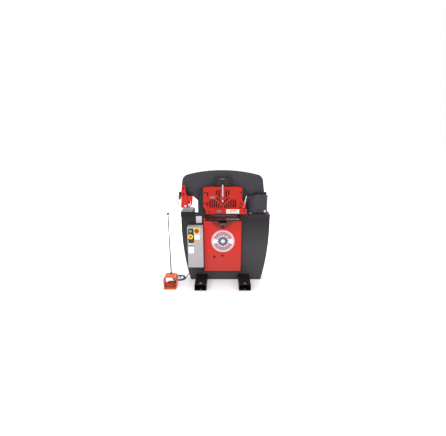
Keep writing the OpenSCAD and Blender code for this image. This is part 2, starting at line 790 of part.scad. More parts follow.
module shear_table() color("dimgray") {
  translate([0, 0, table_z - table_t]) linear_extrude(table_t)
    polygon([[table_left, front_y - seat], [table_right, front_y - seat],
      [table_right_front, table_front_y], [table_left, table_front_y]]);
}
module table_bracket() color("darkred") {
  top_z = table_z - table_t - seat;
  block([table_left, front_y - seat - guard_depth, top_z - apron_t], [table_right, front_y - seat, top_z]);
  block([-apron_half, apron_y, top_z - apron_t], [apron_half, front_y - seat - over, top_z]);
  prism_y([[-apron_half, top_z], [apron_half, top_z], [apron_low_half, top_z - apron_drop],
    [-apron_low_half, top_z - apron_drop]], apron_y, apron_y + apron_t);
}
module table_clamp() color("black") {
  bar_bottom_z = table_z - table_t - seat - clamp_drop;
  y1 = apron_y - seat;
  y0 = y1 - clamp_t;
  block([-clamp_half, y0, bar_bottom_z], [clamp_half, y1, bar_bottom_z + clamp_h]);
  block([-clamp_half * 0.6, y0, bar_bottom_z - clamp_h / 2], [clamp_half * 0.6, y1, bar_bottom_z + over]);
  disc_y([0, table_z - table_t - seat - apron_drop + clamp_bolt_d / 4], clamp_bolt_d / 2, y0, y1);
}
module front_door() color("red") difference() {
  block([door_left, door_y, door_bottom_z], [door_right, front_y - seat, door_top_z]);
  block([door_left + door_t, door_y + door_t, door_bottom_z + door_t],
    [door_right - door_t, front_y, door_top_z - door_t]);
  for (p = [[-109, 361], [-2, 376]]) disc_y(p, access_d / 2, door_y - over, door_y + 2 * door_t);
}

module rear_cover() color("dimgray") difference() {
  block([-cover_half, rear_y1 + seat, floor_z], [cover_half, cover_y1, cover_top_z]);
  block([-cover_half + cover_t, rear_y1, floor_z - over],
    [cover_half - cover_t, cover_y1 - cover_t, cover_top_z - cover_t]);
  for (x = [-150, 150], i = [0:7])
    block([x - 70, cover_y1 - 2 * cover_t, cover_top_z - 320 + 30 * i],
      [x + 70, cover_y1 + over, cover_top_z - 308 + 30 * i]);
}
module oil_tank() color("slategray") {
  block([-tank_half, tank_y0, floor_z], [tank_half, tank_y1, tank_top_z]);
  disc_z([-tank_half + 50, tank_y1 - 50], 28, tank_top_z - over, tank_top_z + 36);
}
module motor() color("steelblue") {
  c = [70, (tank_y0 + tank_y1) / 2];
  z0 = tank_top_z + seat;
  disc_z(c, motor_d / 2 + 8, z0, z0 + 16);
  disc_z(c, motor_d / 2, z0 + 15, z0 + motor_h);
  block([c[0] + motor_d / 2 - 10, c[1] - 40, z0 + 120], [c[0] + motor_d / 2 + 45, c[1] + 40, z0 + 210]);
}
valve_x = -130;
valve_y0 = tank_y0 + 20;
module valve_block() color("silver")
  block([valve_x - valve_w / 2, valve_y0, tank_top_z + seat],
    [valve_x + valve_w / 2, valve_y0 + valve_w, tank_top_z + seat + valve_h]);
module pipe_run(pts) {
  for (i = [0:len(pts) - 2]) between(pts[i], pts[i + 1], pipe_d / 2);
  for (i = [1:len(pts) - 2]) translate(pts[i]) sphere(d = pipe_d);
}
module oil_pipes() color("black") {
  lane_y = (port_y + tank_y0) / 2;
  for (i = [0, 1]) {
    x = valve_x + (i == 0 ? -1 : 1) * valve_w / 4;
    z = tank_top_z + valve_h / 2;
    port_z = i == 0 ? base_top_z + seat + 60 : barrel_top_z - 30;
    pipe_run([[x, valve_y0 - seat, z], [x, lane_y, z], [x, lane_y, port_z], [0, lane_y, port_z],
      [0, port_y + seat, port_z]]);
  }
}

module electrical_box() color("lightgray") {
  y0 = front_y - box_depth + 2 * seat;
  difference() {
    block([box_left, y0, box_bottom_z], [box_right, front_y - seat, box_top_z]);
    block([box_left + box_t, y0 - over, box_bottom_z + box_t],
      [box_right - box_t, front_y - seat - box_t, box_top_z - box_t]);
  }
  for (z = [box_bottom_z + hinge_inset, box_top_z - hinge_inset - knuckle_l]) {
    block([hinge_x - knuckle_d / 2, y0 + knuckle_d, z],
      [box_left + over, y0 + knuckle_d + box_t, z + knuckle_l]);
    block([hinge_x - knuckle_d / 2, hinge_y, z],
      [hinge_x - knuckle_d / 2 + box_t, y0 + knuckle_d + box_t, z + knuckle_l]);
    disc_z([hinge_x, hinge_y], knuckle_d / 2, z, z + knuckle_l);
    disc_z([hinge_x, hinge_y], hinge_pin_d / 2, z, z + 2 * knuckle_l);
  }
}
module contactor() color("whitesmoke") {
  y1 = front_y - seat - box_t - seat;
  plate_x = 0.15 * box_w;
  plate_z = 0.11 * box_h;
  block([box_left + plate_x, y1 - panel_t, box_bottom_z + plate_z],
    [box_right - plate_x, y1, box_top_z - plate_z]);
  block([box_left + 2 * plate_x, y1 - box_depth / 2, box_bottom_z + 2 * plate_z],
    [box_left + 4 * plate_x, y1 - panel_t + over, box_bottom_z + 3.3 * plate_z]);
  block([box_left + 2 * plate_x, y1 - box_depth * 0.6, box_bottom_z + 4 * plate_z],
    [box_left + 4.7 * plate_x, y1 - panel_t + over, box_bottom_z + 5.5 * plate_z]);
}
module box_door() color("lightgray") {
  y1 = lid_y + lid_depth;
  difference() {
    union() {
      block([box_left, lid_y, box_bottom_z], [box_right, y1, box_top_z]);
      block([disconnect_x - 0.65 * disconnect_d, lid_y - panel_t + over,
        disconnect_z - 0.71 * disconnect_d],
        [disconnect_x + 0.65 * disconnect_d, lid_y + over, disconnect_z + 0.71 * disconnect_d]);
    }
    block([box_left + box_t, lid_y + box_t, box_bottom_z + box_t],
      [box_right - box_t, y1 + over, box_top_z - box_t]);
    for (z = [start_z, stop_z]) disc_y([button_x, z], stem_d / 2 + 2 * seat, lid_y - over, y1);
    disc_y([disconnect_x, disconnect_z], stem_d / 2 + 2 * seat, lid_y - panel_t - over, y1);
  }
  for (z = [box_bottom_z + hinge_inset, box_top_z - hinge_inset - knuckle_l]) {
    z0 = z + knuckle_l + gib_gap;
    difference() {
      union() {
        disc_z([hinge_x, hinge_y], knuckle_d / 2, z0, z0 + knuckle_l);
        block([hinge_x, hinge_y - box_t, z0], [box_left + over, hinge_y, z0 + knuckle_l]);
      }
      disc_z([hinge_x, hinge_y], hinge_pin_d / 2 + treadle_gap, z0 - over, z0 + knuckle_l + over);
    }
  }
}
module control_plate() color("black") difference() {
  union() {
    block([box_left + 0.061 * box_w, panel_y, stop_z - 0.156 * box_h],
      [box_left + 0.42 * box_w, lid_y - seat, start_z + 0.059 * box_h]);
    disc_y([button_x, stop_z], stop_ring_d / 2, panel_y - panel_t / 2, panel_y + over);
  }
  for (z = [start_z, stop_z]) disc_y([button_x, z], stem_d / 2 + 2 * seat, panel_y - panel_t, lid_y);
}
module push_button(z, d, y) {
  disc_y([button_x, z], d / 2, y - button_travel - seat - head_t, y - button_travel - seat);
  disc_y([button_x, z], stem_d / 2, y - button_travel - 2 * seat, lid_y + box_t);
}
module start_button() color("green") push_button(start_z, start_d, panel_y);
module stop_button() color("red") push_button(stop_z, stop_d, panel_y - panel_t / 2);
module disconnect_knob() color("darkred") {
  y1 = lid_y - panel_t - seat;
  c = [disconnect_x, disconnect_z];
  disc_y(c, disconnect_d / 2, y1 - head_t, y1);
  disc_y(c, stem_d / 2, y1 - over, lid_y + box_t);
  block([c[0] - stem_d / 2, y1 - 3 * head_t, c[1] - disconnect_d * 0.45],
    [c[0] + stem_d / 2, y1 - head_t + over, c[1] + disconnect_d * 0.45]);
}

module die_table() color("dimgray") difference() {
  y0 = front_y - seat - table_overhang;
  block([punch_x - die_table_w / 2, y0, shoulder_z + seat],
    [punch_x + die_table_w / 2, y0 + die_table_depth, left_table_top_z]);
  disc_z([punch_x, beam_mid_y], die_d * 0.4, shoulder_z, left_table_top_z + over);
  disc_z([punch_x, beam_mid_y], die_d / 2 + seat, die_top_z - die_h - seat, left_table_top_z + over);
}
module die_holder() color("silver") difference() {
  block([punch_x - die_holder_w / 2, beam_mid_y - die_holder_depth / 2 - 10, left_table_top_z + seat],
    [punch_x + die_holder_w / 2, beam_mid_y + die_holder_depth / 2 - 10, die_top_z]);
  disc_z([punch_x, beam_mid_y], die_d / 2 + seat, left_table_top_z, die_top_z + over);
}
module die() color("gainsboro") difference() {
  disc_z([punch_x, beam_mid_y], die_d / 2, die_top_z - die_h, die_top_z);
  disc_z([punch_x, beam_mid_y], punch_d / 2 + die_gap, shoulder_z, die_top_z + over);
}
module punch_ram() color("silver") {
  disc_z([punch_x, beam_mid_y], nut_d * 0.42, ram_z + seat, arm_z - seat);
  block([punch_x - nut_d * 0.7, beam_y0, arm_z - seat - 30],
    [punch_x + nut_d * 0.7, beam_y1, arm_z - seat]);
}
module coupling_nut() color("dimgray") difference() {
  disc_z([punch_x, beam_mid_y], nut_d / 2, nut_z, ram_z);
  disc_z([punch_x, beam_mid_y], punch_d / 2 + seat, nut_z - over, nut_z + 10);
  disc_z([punch_x, beam_mid_y], punch_d * 0.75 + seat, nut_z + 9, ram_z + over);
}
module punch() color("gainsboro") {
  disc_z([punch_x, beam_mid_y], punch_d / 2, punch_tip_z, nut_z + 12);
  disc_z([punch_x, beam_mid_y], punch_d * 0.75, nut_z + 10 + seat, ram_z);
}
module hinge_knuckles(extra, from) for (i = [from:2:4])
  disc_z([seam_x + gib_gap, guard_hinge_y], guard_knuckle_d / 2 + extra,
    punch_guard_z + 12 + 24 * i - extra, punch_guard_z + 12 + 24 * i + 24 - gib_gap + extra);
module punch_guard() color("red") {
  y0 = punch_guard_y;
  y1 = y0 + punch_guard_t;
  difference() {
    union() {
      prism_y([[seam_x - arm_foot_w, punch_guard_z], [seam_x, punch_guard_z],
        [seam_x, punch_guard_z + shroud_h],
        [seam_x - arm_inset, punch_guard_z + arm_bend_h], [seam_x - arm_inset, punch_guard_z + arm_high_h],
        [seam_x - arm_top_w, punch_guard_z + arm_high_h]], y0, y1);
      hinge_knuckles(0, 0);
    }
    for (z = stud_z)
      slot_y(stud_x, z - guard_adjust - stud_d, z + stud_d, stud_d + 4 * seat, y0 - over, y1 + over);
    hinge_knuckles(gib_gap - 0.1, 1);
  }
}
module guard_shroud() color("red") {
  x0 = seam_x + 2 * gib_gap;
  z0 = punch_guard_z;
  y0 = punch_guard_y;
  y1 = y0 + punch_guard_t;
  difference() {
    union() {
      prism_y([[x0, z0], [x0 + 0.32 * shroud_w, z0], [x0 + 0.85 * shroud_w, z0 + 0.3 * shroud_h],
        [x0 + shroud_w, z0 + 0.88 * shroud_h], [x0 + 0.92 * shroud_w, z0 + shroud_h],
          [x0, z0 + shroud_h]], y0, y1);
      block([x0 + 0.79 * shroud_w, y0, z0 + 0.4 * shroud_h],
        [x0 + 0.85 * shroud_w, beam_y0 - 2 * punch_guard_t, z0 + 0.84 * shroud_h]);
      hinge_knuckles(0, 1);
    }
    prism_y([[x0 + 0.17 * shroud_w, z0 + 0.08 * shroud_h], [x0 + 0.57 * shroud_w, z0 + 0.31 * shroud_h],
      [x0 + 0.59 * shroud_w, z0 + 0.585 * shroud_h], [x0 + 0.19 * shroud_w, z0 + 0.585 * shroud_h]],
      y0 - over, y1 + over);
    hinge_knuckles(gib_gap - 0.1, 0);
  }
}
module guard_studs() color("gray") for (z = stud_z) {
  disc_y([stud_x, z], stud_d * 1.2, punch_guard_y + punch_guard_t + seat, beam_y0 - seat);
  disc_y([stud_x, z], stud_d / 2, punch_guard_y - 2 * seat, beam_y0 - seat);
  disc_y([stud_x, z], stud_d * 0.85, punch_guard_y - seat - head_t, punch_guard_y - seat);
}

module notcher_table() color("dimgray") difference() {
  block([notch_left, front_y - seat - 100, shoulder_z + seat],
    [notch_left + notch_w, front_y - seat - 100 + notch_depth, notch_top_z]);
  block([notch_x - notch_blade_w / 2 - 8, beam_mid_y - notch_blade_depth / 2 - 8, shoulder_z],
    [notch_x + notch_blade_w / 2 + 8, beam_mid_y + notch_blade_depth / 2 + 8, notch_top_z + over]);
}
module notcher_die() color("silver") difference() {
  block([notch_left + 40, front_y - plate_t, notch_top_z + seat],
    [notch_left + notch_w - 12, rear_y1 - 10, notch_die_z]);
  block([notch_x - notch_blade_w / 2 - notch_gap, beam_mid_y - notch_blade_depth / 2 - notch_gap,
    notch_top_z],
    [notch_x + notch_blade_w / 2 + notch_gap, beam_mid_y + notch_blade_depth / 2 + notch_gap,
      notch_die_z + over]);
}
module notcher_blade() color("silver") {
  block([notch_x - notch_blade_w / 2, beam_mid_y - notch_blade_depth / 2, notch_die_z + notch_lift],
    [notch_x + notch_blade_w / 2, beam_mid_y + notch_blade_depth / 2, arm_z - seat]);
}
module notcher_guard() color("dimgray") {
  t = notch_guard_t;
  z0 = notch_top_z + notch_guard_lift;
  z1 = notch_guard_top_z;
  x0 = notch_left + 0.124 * notch_w;
  x1 = notch_guard_right;
  y0 = notch_guard_y;
  foot_y = front_y - seat;
  fold = atan((x0 - notch_left) / (z1 - z0));
  fold_x = x0 + (z1 - z0) * tan(fold);
  sheet_x = 1.7 * t;
  prism_y([[x0, z0], [fold_x, z1], [x1 - t, z1], [x1, z0]], y0, y0 + t);
  translate([0, 0, notch_die_z + seat]) linear_extrude(z1 - notch_die_z - 4 * t)
    polygon([[x1 - 1.5 * t, y0 + over], [x1 - 0.5 * t, y0 + over],
      [x1 + 7 * t, beam_y0 - 2 * t], [x1 + 6 * t, beam_y0 - 2 * t]]);
  intersection() {
    block([0, y0, z0 + over], [body_reach, foot_y, z1 - 8 * t]);
    translate([x0, 0, z0]) rotate([0, fold, 0]) translate([0, 0, z0 - z1]) linear_extrude(2 * (z1 - z0))
      polygon([[over, y0 + over], [sheet_x + over, y0 + over],
        [sheet_x - guard_flange_w, front_y], [-guard_flange_w, front_y]]);
  }
  block([fold_x - guard_flange_w - 6 * t, foot_y - t, z1 - 24 * t],
    [fold_x - guard_flange_w, foot_y, z1 - 10 * t]);
}

module upper_beam() color("dimgray") difference() {
  union() {
    crowned(beam_half, arm_z, beam_top_z, crown_r, beam_corner_r, beam_lean, beam_y0, beam_y1);
    prism_y([[-column_half - 60, arm_z + over], [-column_half, haunch_z], [column_half, haunch_z],
      [column_half + 60, arm_z + over]], beam_y0, beam_y1);
    block([-stem_half, beam_y0, stem_bottom_z], [stem_half, beam_y1, haunch_z + over]);
  }
  v_band(angle_z - 6, angle_z + angle_open + angle_blade_h + seat, angle_half + seat, beam_y0 - over,
    beam_y1 + over);
  block([-flat_half - seat, beam_y0 - over, table_z - flat_blade_h],
    [flat_half + seat, beam_y1 + over, flat_top_z + seat]);
  disc_z([0, beam_mid_y], spigot_d / 2 + seat, stem_bottom_z - over, stem_bottom_z + ram_seat);
}
module guide_key() color("gray")
  block([-key_half, front_y - seat - 22, key_bottom_z], [key_half, beam_y0 - seat, key_top_z]);
function beam_end(z) = crown_side(beam_half, beam_top_z, crown_r, beam_corner_r, beam_lean, z) + 2 * seat;
module end_brackets() color("black")
  for (m = [0, 1]) mirror([m, 0, 0])
    prism_y([[beam_end(bracket_low_z), bracket_low_z], [end_bracket_x, bracket_low_z],
      [end_bracket_x, bracket_high_z], [beam_end(bracket_high_z), bracket_high_z]],
      beam_mid_y - 15, beam_mid_y + 15);
module side_shield() color("white", 0.3)
  block([-end_bracket_x - shield_w, beam_mid_y - 4, arm_z - 134],
    [-end_bracket_x - seat, beam_mid_y, arm_z + 5]);

function hood_side(k, n, half, h, belly) =
  k < n ? let (z = belly * k / n) [half - hood_tuck * (1 - sin(90 * k / n)), z]
    : let (a = 90 * (k - n) / n) [half * pow(cos(a), hood_round), belly + (h - belly) * pow(sin(a),
      hood_round)];
function hood_profile(half, h, belly, n = 8) = concat(
  [for (k = [0:2 * n]) hood_side(k, n, half, h, belly)],
  [for (k = [2 * n - 1:-1:0]) let (p = hood_side(k, n, half, h, belly)) [-p[0], p[1]]]);
module pedal_shell() color("orangered") translate([pedal_x, 0, 0]) {
  window_y0 = hood_y0 + 0.62 * hood_l;
  side = hood_half - hood_tuck - 2 * hood_wall;
  boss_x = pedal_gland_x - pedal_x;
  difference() {
    union() {
      block([-pedal_w / 2, pedal_y - pedal_l / 2, 0], [pedal_w / 2, pedal_y + pedal_l / 2, pedal_base_t]);
      prism_y(hood_profile(hood_half, hood_h, hood_belly_z), hood_y0, hood_y1);
    }
    intersection() {
      prism_y(hood_profile(hood_half - hood_wall, hood_h - hood_wall, hood_belly_z), hood_y0 - over,
        hood_y1 + over);
      block([-body_reach, hood_y0 - over, pedal_base_t], [body_reach, hood_y1 + over, hood_h]);
    }
    for (m = [0, 1]) mirror([m, 0, 0]) translate([0, 0, -over]) linear_extrude(pedal_base_t + 2 * over)
      polygon([[treadle_half * 0.95, window_y0], [side, window_y0], [side, hood_y1 - hood_wall],
        [treadle_half * 0.85, hood_y1 - hood_wall]]);
    disc_x([treadle_y, treadle_z], treadle_pin_d / 2 + seat, -body_reach, body_reach);
  }
  block([boss_x - gland_d * 0.8, hood_y1 - hood_wall, 0], [boss_x + gland_d * 0.8, pedal_gland_y, boss_z]);
}
module treadle() color("tomato") translate([pedal_x, treadle_y, treadle_z]) rotate([treadle_slope, 0,
  0]) difference() {
  union() {
    disc_x([0, 0], treadle_pin_d / 2 + 4, -treadle_half, treadle_half);
    linear_extrude(treadle_t) polygon([[-treadle_half, 0], [treadle_half, 0],
      [treadle_half * 0.77, treadle_l], [-treadle_half * 0.77, treadle_l]]);
  }
  disc_x([0, 0], treadle_pin_d / 2 + treadle_gap, -treadle_half - over, treadle_half + over);
}
module treadle_pin() color("black") disc_x([treadle_y, treadle_z], treadle_pin_d / 2,
  pedal_x - hood_half + 6, pedal_x + hood_half - 6);
module pedal_switch() color("black")
  block([pedal_x - 20, treadle_y + 0.55 * treadle_l, pedal_base_t + seat],
    [pedal_x + 20, treadle_y + 0.95 * treadle_l, pedal_base_t + 14]);
module carrying_rod() color("silver") {
  translate([pedal_x, rod_y, rod_z]) cylinder(d = rod_d, h = rod_l);
  translate([pedal_x, rod_y, rod_z]) cylinder(d = rod_d * 1.9, h = rod_d, $fn = 6);
}
module ball_knob() color("black") difference() {
  translate([pedal_x, rod_y, rod_z + rod_l]) sphere(d = ball_d);
  translate([pedal_x, rod_y, rod_z]) cylinder(d = rod_d + 2 * seat, h = rod_l + seat);
}

module cord_gland(c, y) difference() {
  disc_y(c, gland_d / 2, y + seat, y + gland_l);
  disc_y(c, cord_d / 2 + seat, y + gland_l / 2, y + gland_l + over);
}
module cord_glands() color("black") {
  cord_gland([pedal_gland_x, gland_z], pedal_gland_y);
  cord_gland([machine_gland_x, machine_gland_z], rear_y1);
}

// Route of the pedal cord, laid by hand: off the pedal, over its own coil, round, and up to the frame
coil_left = [-612, -112];
coil_right = [-583, -112];
coil_r = 42;
coil_halves = 8;
coil_pitch = 10;
coil_step = 22.5;
lay_z = 4;
lead_in = [[pedal_gland_x, pedal_gland_y + gland_l - 4, gland_z], [pedal_gland_x, -196, 31.5],
  [-626, -178, 29], [-615, -160, 23], [-600, -143, 15], [-585, -127, 8.5], [-576.5, -110.5, 5],
  [-577.5, -94, lay_z], [-585.8, -81, lay_z], [-598, -73, lay_z]];
lead_out = [[-501, -84, lay_z], [-496, -52, lay_z], [-488, -12, lay_z], [-477, 32, lay_z],
  [-460, 72, lay_z],
  [-432, 98, 7], [-404, 92, 18], [-390, 66, 38], [machine_gland_x, 34, 54],
  [machine_gland_x, 6, machine_gland_z], [machine_gland_x, rear_y1 + gland_l - 4, machine_gland_z]];
coil = [for (h = [0:coil_halves - 1], j = [0:h == coil_halves - 1 ? 4 : 8])
  let (a = 90 + 180 * h + coil_step * j, c = h % 2 == 0 ? coil_left : coil_right,
    r = coil_r + coil_pitch * (a - 90) / 360)
  [c[0] + r * cos(a), c[1] + r * sin(a), lay_z]];
cord_route = concat(lead_in, coil, lead_out);

function unit(v) = v / norm(v);
function seg_gap(p, a, b) =
  let (d = b - a, t = max(0, min(1, (p - a) * d / (d * d)))) norm(p - a - t * d);
function tangent(pts, i) = unit(pts[min(i + 1, len(pts) - 1)] - pts[max(i - 1, 0)]);
function ring(pts, i, r, n) =
  let (t = tangent(pts, i), s = unit(cross(t, [0, 0, 1])), u = cross(s, t))
  [for (k = [0:n - 1]) let (a = 360 * (k + 0.5) / n) pts[i] + r * (cos(a) * s + sin(a) * u)];
module tube(pts, r, n) {
  m = len(pts);
  rings = [for (i = [0:m - 1]) each ring(pts, i, r, n)];
  sides = [for (i = [0:m - 2], k = [0:n - 1]) let (a = i * n + k, b = i * n + (k + 1) % n)
    each [[a, b, a + n], [b, b + n, a + n]]];
  caps = [for (k = [1:n - 2]) each [[0, k + 1, k], [(m - 1) * n, (m - 1) * n + k, (m - 1) * n + k + 1]]];
  polyhedron(rings, concat(sides, caps));
}
cord_gap = min([for (i = [0:len(cord_route) - 1], j = [0:len(cord_route) - 2])
  if (abs(i - j) > 5) seg_gap(cord_route[i], cord_route[j], cord_route[j + 1])]) - cord_d;
cord_length = [for (i = [1:len(cord_route) - 1]) norm(cord_route[i] - cord_route[i - 1])] *
  [for (i = [1:len(cord_route) - 1]) 1];
module pedal_cord() color("black") {
  echo(least_gap_of_the_cord_to_itself = cord_gap, length = cord_length);
  tube(cord_route, cord_d / 2, 8);
}

front_plate();
rear_plate();
frame_spacers();
skids();
anchor_bushes();
bronze_strips();
guide_bracket();
cylinder_base();
cylinder_barrel();
lower_angle_blade();
lower_flat_blade();
shear_guard();
guard_bolts();
shear_table();
table_bracket();
table_clamp();
front_door();
rear_cover();
oil_tank();
motor();
valve_block();
oil_pipes();
electrical_box();
contactor();
die_table();
die_holder();
die();
notcher_table();
notcher_die();
notcher_guard();
pedal_shell();
treadle_pin();
pedal_switch();
carrying_rod();
ball_knob();
cord_glands();
pedal_cord();
upper_beam();
guide_key();
cylinder_rod();
punch_ram();
coupling_nut();
punch();
upper_angle_blade();
upper_flat_blade();
notcher_blade();
end_brackets();
side_shield();
guard_studs();
punch_guard();
guard_shroud();
angle_screw();
hold_down_bar();
hold_down_lever();
box_door();
control_plate();
start_button();
stop_button();
disconnect_knob();
treadle();
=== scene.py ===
"""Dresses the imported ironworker: camera, materials, cord and small visible pieces, in metres."""
import math

import bmesh
import bpy
from mathutils import Matrix, Vector


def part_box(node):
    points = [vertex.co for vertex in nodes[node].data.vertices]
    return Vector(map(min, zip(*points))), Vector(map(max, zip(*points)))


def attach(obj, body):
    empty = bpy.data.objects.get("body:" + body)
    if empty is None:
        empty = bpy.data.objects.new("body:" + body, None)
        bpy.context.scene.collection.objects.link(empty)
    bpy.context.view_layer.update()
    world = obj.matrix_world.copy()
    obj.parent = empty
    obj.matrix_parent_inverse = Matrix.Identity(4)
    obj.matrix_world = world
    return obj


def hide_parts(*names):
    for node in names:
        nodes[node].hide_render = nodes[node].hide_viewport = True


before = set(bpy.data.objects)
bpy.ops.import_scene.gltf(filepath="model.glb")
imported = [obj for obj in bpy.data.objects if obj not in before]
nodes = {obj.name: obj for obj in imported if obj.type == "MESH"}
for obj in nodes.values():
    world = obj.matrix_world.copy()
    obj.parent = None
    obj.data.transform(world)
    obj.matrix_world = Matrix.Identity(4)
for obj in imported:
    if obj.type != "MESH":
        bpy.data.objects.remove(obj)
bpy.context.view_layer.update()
scene = bpy.context.scene

# Camera at the photograph's place: eye height, tilt and lens were fitted to the machine's edges.
PHOTO_W = 446
FOCAL_PX = 272.0
SENSOR = 36.0
EYE = (0.0, -3.493, 1.8525)
TILT = math.radians(74.5)
SHIFT_X, SHIFT_Y = 0.0007, -0.009
FAR_CLIP = 60.0
cam_data = bpy.data.cameras.new("camera")
cam_data.sensor_fit = "HORIZONTAL"
cam_data.sensor_width = SENSOR
cam_data.lens = SENSOR * FOCAL_PX / PHOTO_W
cam_data.shift_x = SHIFT_X
cam_data.shift_y = SHIFT_Y
cam_data.clip_end = FAR_CLIP
camera = bpy.data.objects.new("camera", cam_data)
camera.location = EYE
camera.rotation_euler = (TILT, 0.0, 0.0)
scene.collection.objects.link(camera)
scene.camera = camera


# Materials

# Noises: waves per metre, detail and roughness
PAINT_CLOUD = (4.0, 4.0, 0.6)
PAINT_RUB = (55.0, 6.0, 0.7)
PAINT_CHIP = (70.0, 4.0, 0.65)
PAINT_SMEAR = (9.0, 5.0, 0.65)
PAINT_PEEL = (420.0, 2.0, 0.5)
METAL_STAIN = (14.0, 6.0, 0.7)
LEVER_GRAIN = (300.0, 3.0, 0.6)
PLASTIC_DUST = (30.0, 4.0, 0.6)
PLASTIC_SMEAR = (45.0, 4.0, 0.6)
SHEET_HAZE = (25.0, 4.0, 0.6)
SHEET_WAVE = (90.0, 3.0, 0.5)
EVEN = (1, 1, 1)

LEVER_DARK, LEVER_BRIGHT = (172, 174, 176), (214, 216, 218)
SHEET_TINT, SHEET_RIM = (0.86, 0.84, 0.76), (0.66, 0.64, 0.55)
BEVEL_SAMPLES = 6
FLAT_DOT, EDGE_DOT = 0.995, 0.80
METAL_RADIUS = 0.0009
PLASTIC_RADIUS = 0.0008
THIN_RADIUS = 0.001
SHEET_RADIUS = 0.002
# How deep the bump of each finish is, in metres
PEEL_DEPTH, GRAIN_DEPTH, MOULD_DEPTH, WAVE_DEPTH = 0.0004, 0.00015, 0.0002, 0.0003


def tree(name):
    """A new material with its node tree and its Principled node."""
    m = bpy.data.materials.new(name)
    m.use_nodes = True
    nt = m.node_tree
    return m, nt, nt.nodes["Principled BSDF"]


def node(nt, kind, **settings):
    """One shader node; settings name its properties, or its inputs with in_ before the name."""
    n = nt.nodes.new(kind)
    for key, value in settings.items():
        if key.startswith("in_"):
            n.inputs[key[3:]].default_value = value
        else:
            setattr(n, key, value)
    return n


def linear(c):
    """One sRGB channel from 0 to 1, made linear."""
    return c / 12.92 if c <= 0.04045 else ((c + 0.055) / 1.055) ** 2.4


def rgb(colour):
    """Eight-bit sRGB to a linear colour."""
    return tuple(linear(v / 255) for v in colour)


def scaled(colour, factor, lift=0.0):
    """A linear colour times a factor, no brighter than white."""
    return tuple(min(1.0, c * factor + lift) for c in colour)


def object_point(nt):
    """Object coordinates; the CAD nodes sit at the origin, so these are metres in the CAD frame."""
    return node(nt, "ShaderNodeTexCoord").outputs["Object"]


def true_normal(nt):
    """The normal of the face itself."""
    return node(nt, "ShaderNodeNewGeometry").outputs["True Normal"]


def rounded_normal(nt, radius):
    """The normal with its edges rounded."""
    return node(nt, "ShaderNodeBevel", samples=BEVEL_SAMPLES, in_Radius=radius).outputs[0]


def axis_values(nt, vector):
    """The X, Y and Z outputs of a vector."""
    n = node(nt, "ShaderNodeSeparateXYZ")
    nt.links.new(vector, n.inputs[0])
    return n.outputs


def noise(nt, kind, stretch=EVEN):
    """A noise value from 0 to 1; stretch gives it a grain."""
    scale, detail, rough = kind
    mapping = node(nt, "ShaderNodeMapping", in_Scale=stretch)
    nt.links.new(object_point(nt), mapping.inputs["Vector"])
    n = node(nt, "ShaderNodeTexNoise", in_Scale=scale, in_Detail=detail, in_Roughness=rough)
    nt.links.new(mapping.outputs["Vector"], n.inputs["Vector"])
    return n.outputs["Fac"]


def remap(nt, value, low, high, to_low=0.0, to_high=1.0):
    """Clamped linear map of a value."""
    n = node(nt, "ShaderNodeMapRange")
    nt.links.new(value, n.inputs[0])
    for i, v in enumerate((low, high, to_low, to_high), 1):
        n.inputs[i].default_value = v
    return n.outputs[0]


def mix_colour(nt, factor, a, b):
    """Mix of two colours, each a socket or a tuple."""
    n = node(nt, "ShaderNodeMix", data_type="RGBA")
    nt.links.new(factor, n.inputs[0])
    for i, c in ((6, a), (7, b)):
        if isinstance(c, tuple):
            n.inputs[i].default_value = (*c, 1.0)
        else:
            nt.links.new(c, n.inputs[i])
    return n.outputs[2]


def times(nt, a, b):
    """Product of a socket with a socket or a number."""
    n = node(nt, "ShaderNodeMath", operation="MULTIPLY")
    nt.links.new(a, n.inputs[0])
    if isinstance(b, float):
        n.inputs[1].default_value = b
    else:
        nt.links.new(b, n.inputs[1])
    return n.outputs[0]


def edge_mask(nt, radius):
    """1 at sharp edges and 0 on flats, by how far the rounded normal turns from the true one."""
    dot = node(nt, "ShaderNodeVectorMath", operation="DOT_PRODUCT")
    nt.links.new(rounded_normal(nt, radius), dot.inputs[0])
    nt.links.new(true_normal(nt), dot.inputs[1])
    return remap(nt, dot.outputs["Value"], FLAT_DOT, EDGE_DOT)


def bump(nt, shader, relief, strength, distance, radius):
    """Bump on top of a rounded-edge normal."""
    n = node(nt, "ShaderNodeBump", in_Strength=strength, in_Distance=distance)
    nt.links.new(relief, n.inputs["Height"])
    nt.links.new(rounded_normal(nt, radius), n.inputs["Normal"])
    nt.links.new(n.outputs[0], shader.inputs["Normal"])


def inside_box(nt, low, high, soft):
    """1 inside a box in the CAD frame and 0 outside; None leaves a side open."""
    xyz = axis_values(nt, object_point(nt))
    mask = None
    for axis, a, b in zip("XYZ", low, high):
        for limit, start, end in ((a, 0.0, 1.0), (b, 1.0, 0.0)):
            if limit is not None:
                step = remap(nt, xyz[axis], limit - soft / 2, limit + soft / 2, start, end)
                mask = step if mask is None else times(nt, mask, step)
    return mask


